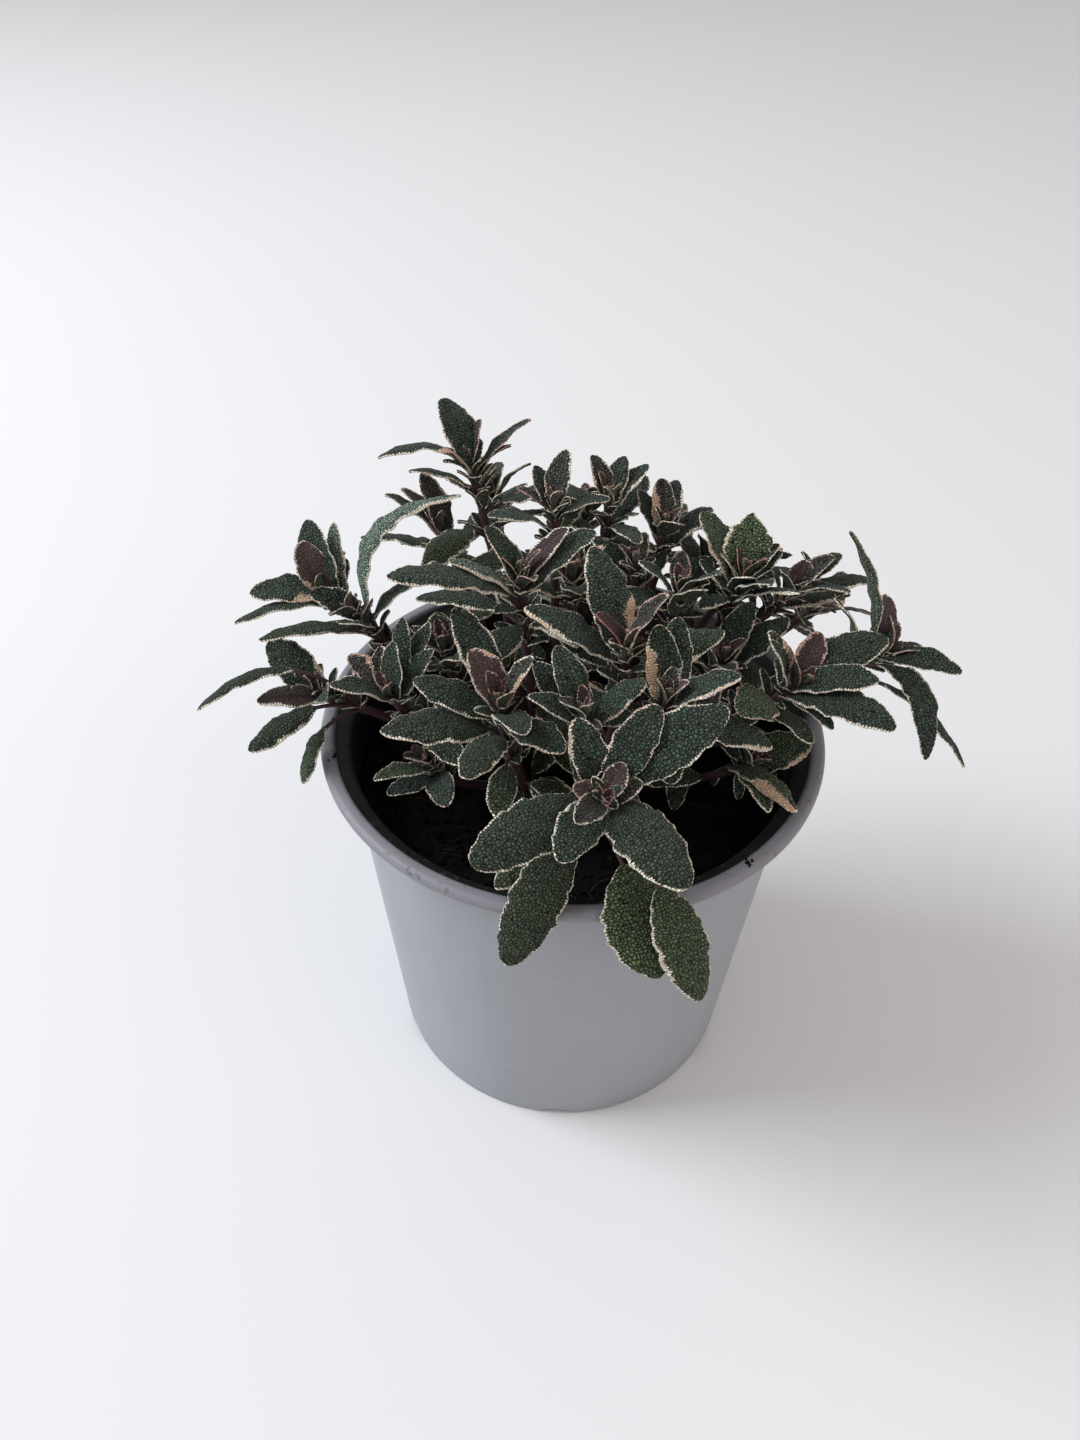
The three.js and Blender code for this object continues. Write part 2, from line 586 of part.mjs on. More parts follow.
// The leaves of every shoot: first those that stand out, then the others pair by pair
class Growth {
  constructor(shoots, seed) {
    this.shoots = shoots;
    this.stems = shoots.map((shoot) => new Stem(shoot));
    this.leaves = [];
    this.thicket = new Thicket();
    this.stems.forEach((stem, i) => {
      const count = Math.ceil(stem.length / STEP);
      const points = Array.from({ length: count + 1 }, (_, j) => stem.bow.point(j / count));
      this.thicket.add(points, null, i, -1);
    });
    this.taken = shoots.map((shoot, i) => this.growNoted(shoot, i));
    this.growPairs(new Draw(seed));
  }

  keepIfFree(leaf) {
    const points = leaf.points();
    if (!this.thicket.hasRoomFor(leaf, points)) return false;
    this.leaves.push(leaf);
    this.thicket.add(points, leaf.base, leaf.shoot, leaf.pair);
    return true;
  }

  growNoted(shoot, index) {
    const taken = new Set();
    for (const note of shoot.leaves) {
      const { point: base, axis } = this.stems[index].below(PAIR_DROP[note.pair]);
      const tip = new THREE.Vector3(...shoot.crown).add(new THREE.Vector3(...note.tip));
      const way = tip.clone().sub(base);
      const reach = way.length();
      way.normalize();
      const stalk = note.stalk ?? PAIR_STALK[note.pair];
      const build = {
        shoot: index,
        pair: note.pair,
        base,
        up: axis.clone().addScaledVector(way, -axis.dot(way)).normalize(),
        arch: PAIR_ARCH[note.pair] * note.arch * reach,
        width: reach * (1 - stalk) * note.slender,
        stalk,
        cup: PAIR_CUP[note.pair],
        roll: degToRad(note.roll),
        noted: true,
      };
      const raised = (lift) => new Leaf({ ...build, tip: tip.clone().addScaledVector(UP, lift) });
      if (!LIFTS.some((lift) => this.keepIfFree(raised(lift)))) continue;
      const [first, second] = Stem.frame(axis);
      const heading = radToDeg(Math.atan2(way.dot(second), way.dot(first)));
      const turn = shoot.turn + 90 * note.pair;
      const off = (angle) => Math.abs(euclideanModulo(heading - angle + 180, 360) - 180);
      const side = off(turn) < off(turn + 180) ? 0 : 1;
      taken.add(`${note.pair} ${taken.has(`${note.pair} ${side}`) ? 1 - side : side}`);
    }
    return taken;
  }

  growPairs(draw) {
    PAIR_DROP.forEach((drop, pair) => {
      this.shoots.forEach((shoot, index) => {
        if (pair >= shoot.pairs) return;
        for (const side of [0, 1]) {
          const own = {
            turn: draw.between(-10, 10),
            rise: draw.between(-7, 7),
            size: draw.between(0.88, 1.08),
            roll: draw.between(-0.25, 0.25),
            arch: draw.between(0.6, 1.4),
            tone: draw.unit(),
          };
          if (!this.taken[index].has(`${pair} ${side}`)) this.growOne(shoot, index, pair, side, own);
        }
      });
    });
  }

  growOne(shoot, index, pair, side, own) {
    const { point: base, axis } = this.stems[index].below(PAIR_DROP[pair]);
    const [first, second] = Stem.frame(axis);
    const stalk = PAIR_STALK[pair];
    for (const shrink of SHRINKS) {
      const reach = PAIR_REACH[pair] * own.size * shoot.size * shrink;
      for (const [moreTurn, moreRise] of NUDGES) {
        const turn = degToRad(shoot.turn + 90 * pair + 180 * side + own.turn + moreTurn);
        const rise = degToRad(PAIR_RISE[pair] + own.rise + moreRise);
        const way = first.clone().multiplyScalar(Math.cos(turn)).addScaledVector(second, Math.sin(turn))
          .multiplyScalar(Math.cos(rise)).addScaledVector(axis, Math.sin(rise));
        const leaf = new Leaf({
          shoot: index,
          pair,
          base,
          tip: base.clone().addScaledVector(way, reach),
          up: axis.clone().addScaledVector(way, -axis.dot(way)).normalize(),
          arch: PAIR_ARCH[pair] * own.arch * reach,
          width: reach * (1 - stalk) * SLENDER,
          stalk,
          cup: PAIR_CUP[pair],
          roll: own.roll,
          noted: false,
        });
        if (this.keepIfFree(leaf)) return;
      }
    }
  }
}

// A ring of corners round a point, square to its axis
function ringRound(point, axis, radius, sides) {
  const [first, second] = Stem.frame(axis);
  return Array.from({ length: sides }, (_, i) => {
    const turn = (2 * Math.PI * i) / sides;
    return point.clone()
      .addScaledVector(first, radius * Math.cos(turn))
      .addScaledVector(second, radius * Math.sin(turn));
  });
}

function stemSolid(stem) {
  const root = stem.bow.start;
  const foot = new THREE.Vector3(root.x, root.y, SOIL_TOP - HOLE_DEPTH + SOIL_GAP);
  const rings = [ringRound(foot, UP, STEM_FOOT, STEM_SIDES)];
  for (let i = 0; i <= STEM_RINGS; i += 1) {
    const t = i / STEM_RINGS;
    const axis = i === 0 ? UP : stem.bow.heading(t);
    rings.push(ringRound(stem.bow.point(t), axis, STEM_FOOT + (STEM_TIP - STEM_FOOT) * t, STEM_SIDES));
  }
  return loft(rings, stem.bow.point(1).addScaledVector(stem.bow.heading(1), STEM_TIP));
}

// A stem with all its leaves joined to it: hollows that the joining seals are filled
function shootSolid(growth, index) {
  const leaves = growth.leaves.filter((leaf) => leaf.shoot === index && leaf.pair >= FIRST_PAIR);
  const joined = wasm.Manifold.union([stemSolid(growth.stems[index]), ...leaves.map((leaf) => leaf.solid())]);
  return joined.decompose().reduce((best, body) => (body.volume() > best.volume() ? body : best));
}

// Profile points as (radius, height), turned round the pot's axis
function turned(profile, sides) {
  const points = profile.map(([r, z]) => new THREE.Vector2(r, z));
  return solidOf(new THREE.LatheGeometry(points, sides).rotateX(Math.PI / 2));
}

function upright(radius, sides, low, high, x, y) {
  const shape = new THREE.CylinderGeometry(radius, radius, high - low, sides).rotateX(Math.PI / 2);
  return solidOf(shape.translate(x, y, (low + high) / 2));
}

function potSolid() {
  const neck = POT_HEIGHT - RIM_DEPTH;
  const body = turned([
    [0, 0],
    [CHANNEL_INNER, 0],
    [CHANNEL_INNER + CHANNEL_DEPTH, CHANNEL_DEPTH],
    [FOOT_INNER - CHANNEL_DEPTH, CHANNEL_DEPTH],
    [FOOT_INNER, 0],
    [BASE_RADIUS, 0],
    [NECK_RADIUS, neck],
    [RIM_RADIUS - RIM_ROUND, neck],
    [RIM_RADIUS, neck + RIM_ROUND],
    [RIM_RADIUS, POT_HEIGHT - RIM_ROUND],
    [RIM_RADIUS - RIM_ROUND, POT_HEIGHT],
    [RIM_MOUTH, POT_HEIGHT],
    [NECK_RADIUS - WALL, neck],
    [potRadius(FLOOR) - WALL, FLOOR],
    [0, FLOOR],
  ], POT_SIDES);
  const arch = new THREE.Shape();
  arch.absellipse(0, 0, NOTCH_HALF_WIDTH, NOTCH_HEIGHT, 0, Math.PI);
  const notch = new THREE.ExtrudeGeometry(arch, { depth: NOTCH_DEPTH, bevelEnabled: false, curveSegments: NOTCH_STEPS })
    .rotateX(Math.PI / 2)
    .translate(0, NOTCH_DEPTH / 2, -NOTCH_SINK);
  const cuts = [];
  for (let i = 0; i < DRAINS; i += 1) {
    const turn = (2 * Math.PI * i) / DRAINS;
    const [x, y] = [DRAIN_CIRCLE * Math.sin(turn), -DRAIN_CIRCLE * Math.cos(turn)];
    cuts.push(upright(DRAIN_RADIUS, DRAIN_SIDES, -CUT_CLEAR, FLOOR + CUT_CLEAR, x, y));
    cuts.push(solidOf(notch.clone().translate(0, -BASE_RADIUS, 0).rotateZ(turn)));
  }
  return body.subtract(wasm.Manifold.union(cuts));
}

// Height of the soil's surface: low lumps made of crossed waves
function soilHeight(x, y) {
  const lumps = Math.sin(0.21 * x + 1.3) * Math.cos(0.17 * y - 0.4) + 0.6 * Math.sin(0.34 * x - 0.29 * y);
  return SOIL_TOP + SOIL_LUMP * 0.6 * lumps;
}

function soilSolid(stems) {
  const wallAt = (z) => potRadius(z) - WALL - SOIL_GAP;
  const low = FLOOR + SOIL_GAP;
  const corners = [new THREE.Vector3(0, 0, low), new THREE.Vector3(0, 0, soilHeight(0, 0))];
  const rims = [[wallAt(low), () => low], [wallAt(SOIL_TOP), () => SOIL_TOP]];
  for (const r of [...SOIL_RINGS].reverse()) rims.push([r, soilHeight]);
  for (const [r, height] of rims) {
    for (let i = 0; i < SOIL_SIDES; i += 1) {
      const turn = (2 * Math.PI * i) / SOIL_SIDES;
      const [x, y] = [r * Math.cos(turn), r * Math.sin(turn)];
      corners.push(new THREE.Vector3(x, y, height(x, y)));
    }
  }
  const index = [];
  const at = (ring, i) => 2 + ring * SOIL_SIDES + (i % SOIL_SIDES);
  for (let i = 0; i < SOIL_SIDES; i += 1) {
    index.push(0, at(0, i + 1), at(0, i));
    for (let ring = 0; ring + 1 < rims.length; ring += 1) {
      index.push(at(ring, i), at(ring, i + 1), at(ring + 1, i + 1));
      index.push(at(ring, i), at(ring + 1, i + 1), at(ring + 1, i));
    }
    index.push(1, at(rims.length - 1, i), at(rims.length - 1, i + 1));
  }
  const geometry = new THREE.BufferGeometry().setFromPoints(corners);
  geometry.setIndex(index);
  const holes = stems.map(({ bow: { start } }) => upright(
    HOLE_RADIUS, HOLE_SIDES, SOIL_TOP - HOLE_DEPTH, SOIL_TOP + HOLE_ABOVE, start.x, start.y,
  ));
  return solidOf(geometry).subtract(wasm.Manifold.union(holes));
}

const growth = new Growth(SHOOTS, SEED);
const sage = new THREE.Group();
sage.name = 'potted_sage';
sage.add(meshOf('pot', potSolid(), POT_FINISH));
sage.add(meshOf('soil', soilSolid(growth.stems), SOIL_FINISH));
SHOOTS.forEach((shoot, index) => {
  sage.add(meshOf(`shoot_${shoot.name}`, shootSolid(growth, index), LEAF_FINISH));
});

export default sage;
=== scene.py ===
"""A variegated sage in a grey nursery pot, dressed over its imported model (Blender 4.5, metres, +Z up).

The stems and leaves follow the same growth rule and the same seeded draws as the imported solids, so each
fine leaf stands where its plain blade is. Lengths of the plant and pot are held in millimetres.
"""
from __future__ import annotations

import logging
import math
from dataclasses import dataclass, field, replace
from enum import Enum
from typing import Iterable, Sequence

import bpy
import numpy as np
from mathutils import Matrix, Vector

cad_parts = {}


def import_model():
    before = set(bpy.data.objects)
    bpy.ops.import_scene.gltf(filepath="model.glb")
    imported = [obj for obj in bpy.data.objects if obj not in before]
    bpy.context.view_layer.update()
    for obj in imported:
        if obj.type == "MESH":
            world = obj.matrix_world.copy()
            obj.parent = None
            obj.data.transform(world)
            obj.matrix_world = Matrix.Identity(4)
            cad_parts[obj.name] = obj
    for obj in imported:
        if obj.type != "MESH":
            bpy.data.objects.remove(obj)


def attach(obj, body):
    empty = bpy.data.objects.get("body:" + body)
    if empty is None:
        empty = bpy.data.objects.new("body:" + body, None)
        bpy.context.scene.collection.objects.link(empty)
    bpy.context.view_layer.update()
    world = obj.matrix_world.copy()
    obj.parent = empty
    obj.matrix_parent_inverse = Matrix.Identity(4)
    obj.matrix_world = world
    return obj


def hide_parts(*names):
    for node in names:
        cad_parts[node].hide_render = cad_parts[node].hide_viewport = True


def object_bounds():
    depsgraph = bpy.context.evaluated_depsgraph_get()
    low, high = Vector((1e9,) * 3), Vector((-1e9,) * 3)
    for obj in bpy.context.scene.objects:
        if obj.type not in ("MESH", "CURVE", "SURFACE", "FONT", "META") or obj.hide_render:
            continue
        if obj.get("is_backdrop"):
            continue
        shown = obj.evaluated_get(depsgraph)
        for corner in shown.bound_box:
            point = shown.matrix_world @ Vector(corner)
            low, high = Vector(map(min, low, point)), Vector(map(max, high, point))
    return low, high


LOG = logging.getLogger("potted_sage")
MM = 0.001
UP = np.array([0.0, 0.0, 1.0])
EAST = np.array([1.0, 0.0, 0.0])
Colour = tuple[float, float, float]
Span = tuple[float, float]
Array = np.ndarray
Grid = Array | float
Chance = np.random.Generator
Socket = bpy.types.NodeSocket
Material = bpy.types.Material
Piece = bpy.types.Object


@dataclass(frozen=True)
class PotSizes:
    """The sizes of the pot and of the soil in it, in millimetres."""

    height: float = 164.0
    rim_radius: float = 95.0
    rim_mouth: float = 89.5
    rim_depth: float = 5.0
    neck_radius: float = 85.5
    base_radius: float = 74.0
    wall: float = 1.6
    floor: float = 5.5
    foot_inner: float = 67.0
    channel_inner: float = 30.0
    channel_depth: float = 3.0
    drains: int = 6
    drain_radius: float = 5.0
    drain_circle: float = 52.0
    notch_height: float = 4.2
    notch_half_width: float = 7.5
    soil_top: float = 139.0
    soil_gap: float = 0.7
    soil_lump: float = 1.1
    hole_depth: float = 12.0

    @property
    def neck(self) -> float:
        """Returns the height where the wall ends and the rim starts."""
        return self.height - self.rim_depth

    def outer(self, share: Grid) -> Grid:
        """Returns the wall's outer radius at a share of the neck's height: a straight taper."""
        return self.base_radius + (self.neck_radius - self.base_radius) * share


@dataclass(frozen=True)
class StemRule:
    """How a stem roots, leans and turns up, and how thick it is, in millimetres and shares."""

    foot_radius: float = 1.9
    tip_radius: float = 1.25
    start: float = 1.0
    pull: float = 0.5
    pull_far: float = 0.12
    pull_reach: Span = (40.0, 100.0)
    spread: float = 0.8
    spread_far: float = 0.25
    lift: float = 0.45
    lift_far: float = 0.4
    far_reach: Span = (55.0, 95.0)
    upright: float = 1.0
    marks: int = 64


@dataclass(frozen=True)
class LeafRule:
    """The leaves of each crossed pair, from the youngest pair at the crown down the stem, and their blade."""

    drop: tuple[float, ...] = (1, 3, 6, 10, 15, 22, 31, 42)
    reach: tuple[float, ...] = (8, 14, 22, 31, 38, 44, 48, 48)
    rise: tuple[float, ...] = (74, 62, 50, 38, 26, 12, -2, -14)
    stalk: tuple[float, ...] = (0, 0.02, 0.06, 0.12, 0.17, 0.22, 0.26, 0.3)
    arch: tuple[float, ...] = (0.03, 0.06, 0.1, 0.12, 0.14, 0.16, 0.18, 0.18)
    cup: tuple[float, ...] = (0.5, 0.45, 0.35, 0.25, 0.16, 0.1, 0.06, 0.06)
    slender: float = 0.44
    belly: float = 1.1
    point: float = 0.48
    arch_gain: float = 1.2
    stalk_half_width: float = 0.8
    control: float = 0.45
    turn_by: float = 0.4


@dataclass(frozen=True)
class RoomRule:
    """The room that a leaf keeps, in millimetres, and how it may turn, rise and shrink to find it."""

    step: float = 1.8
    clear: float = 3.1
    clear_own: float = 2.2
    clear_noted: float = 0.9
    near_own: float = 10.0
    near_noted: float = 16.0
    clear_pot: float = 2.0
    clear_soil: float = 3.0
    nudges: tuple[Span, ...] = (
        (0, 0), (9, 0), (-9, 0), (0, 9), (0, -9), (14, 8), (-14, 8), (0, 18),
        (20, -6), (-20, -6), (26, 6), (-26, 6), (0, 28),
    )
    shrinks: tuple[float, ...] = (1.0, 0.82, 0.66)
    lifts: tuple[float, ...] = (0.0, 4.0, -4.0, 8.0, -8.0)
    seed: int = 20


@dataclass(frozen=True)
class MoreRule:
    """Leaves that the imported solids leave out: small ones in the axils, old ones low on the stems."""

    axil_first: int = 2
    axil_turn: float = 34.0
    axil_stray: Span = (-16.0, 16.0)
    axil_reach: Span = (8.0, 10.0)
    axil_longer: float = 1.6
    axil_rise: Span = (26.0, 64.0)
    axil_shift: Span = (-1.0, 1.0)
    axil_form: int = 3
    low_drops: tuple[float, ...] = (50.0, 62.0, 74.0)
    low_clear: float = 14.0
    low_stray: Span = (-25.0, 25.0)
    low_reach: Span = (20.0, 34.0)
    low_rise: Span = (-4.0, 38.0)
    low_form: int = 6
    clear: float = 2.0
    nudges: tuple[Span, ...] = ((0, 0), (16, 0), (-16, 0), (0, 16), (0, -16))
    shrinks: tuple[float, ...] = (1.0, 0.7)
    seed: int = 4


POT = PotSizes()
STEM = StemRule()
LEAF = LeafRule()
ROOM = RoomRule()
MORE = MoreRule()


def unit(v: Array) -> Array:
    """Returns the vectors scaled to length 1 along their last axis."""
    return v / np.linalg.norm(v, axis=-1, keepdims=True)


def ease(low: float, high: float, x: Grid) -> Grid:
    """Returns a smooth step: 0 below low, 1 above high and 3k^2 - 2k^3 between."""
    k = np.clip((x - low) / (high - low), 0.0, 1.0)
    return k * k * (3.0 - 2.0 * k)


def outline(s: Array, belly: float, point: float) -> Array:
    """Returns a blade's relative width at shares s: sin(pi s^belly)^point."""
    return np.maximum(np.sin(math.pi * s ** belly), 0.0) ** point


def linear(red: int, green: int, blue: int) -> Colour:
    """Returns a display colour of 0 to 255 as the linear light that a shader takes."""
    def channel(value: int) -> float:
        """Returns one channel in linear light."""
        c = value / 255.0
        return c / 12.92 if c <= 0.04045 else ((c + 0.055) / 1.055) ** 2.4
    return channel(red), channel(green), channel(blue)


def round_angles(sides: int) -> Array:
    """Returns evenly spaced angles round a full turn."""
    return np.linspace(0, math.tau, sides, endpoint=False)


def turned(radii: Array, turn: Array) -> tuple[Array, Array]:
    """Returns x = r cos(turn) and y = r sin(turn), of shape (radii, angles)."""
    return radii[:, None] * np.cos(turn)[None], radii[:, None] * np.sin(turn)[None]


def round_rings(
    path: Array, first: Array, second: Array, turn: Array, radius: Array,
) -> Array:
    """Returns rings round a path: path + radius (first cos(turn) + second sin(turn)).

    Args:
        path: the middle of each ring.
        first: a direction square to the path at each ring.
        second: the direction square to both.
        turn: the angles round a ring.
        radius: each ring's radius, of shape (rings, 1) or (rings, around).

    Returns:
        The points, of shape (rings, around, 3).
    """
    spread = first[:, None] * np.cos(turn)[None, :, None] + second[:, None] * np.sin(turn)[None, :, None]
    return path[:, None] + spread * radius[..., None]


# The plant's plan


class Tint(Enum):
    """How a leaf's colour leans apart from its age, as (green, pale, mauve)."""

    PLAIN = (0.0, 0.0, 0.0)
    GREEN = (1.0, 0.0, 0.0)
    OLIVE = (0.5, 0.0, 0.0)
    PALE = (0.0, 1.0, 0.0)
    MAUVE = (0.0, 0.0, 1.0)


class Patch(Enum):
    """Where a wide cream patch lies, as (side of the midrib, first and last share of the blade)."""

    NONE = (0.0, 0.0, 0.0)
    NEAR = (-1.0, 0.1, 0.8)
    FAR = (1.0, 0.1, 0.8)
    TIP_NEAR = (-1.0, 0.5, 1.1)
    TIP_FAR = (1.0, 0.5, 1.1)
    BASE_FAR = (1.0, -0.1, 0.55)
    BASE_NEAR = (-1.0, -0.1, 0.55)


@dataclass(frozen=True)
class Note:
    """A leaf that stands out: its pair, its tip from the crown, its width to length, and what is its own."""

    pair: int
    tip: tuple[float, float, float]
    slender: float = LEAF.slender
    roll: float = 0.0
    arch: float = 1.0
    stalk: float | None = None
    tint: Tint = Tint.PLAIN
    patch: Patch = Patch.NONE


@dataclass(frozen=True)
class Shoot:
    """A leafy stem: its crown in millimetres, the heading of its youngest pair, its pairs and its size."""

    name: str
    crown: tuple[float, float, float]
    turn: float
    pairs: int
    size: float
    leaves: tuple[Note, ...] = ()


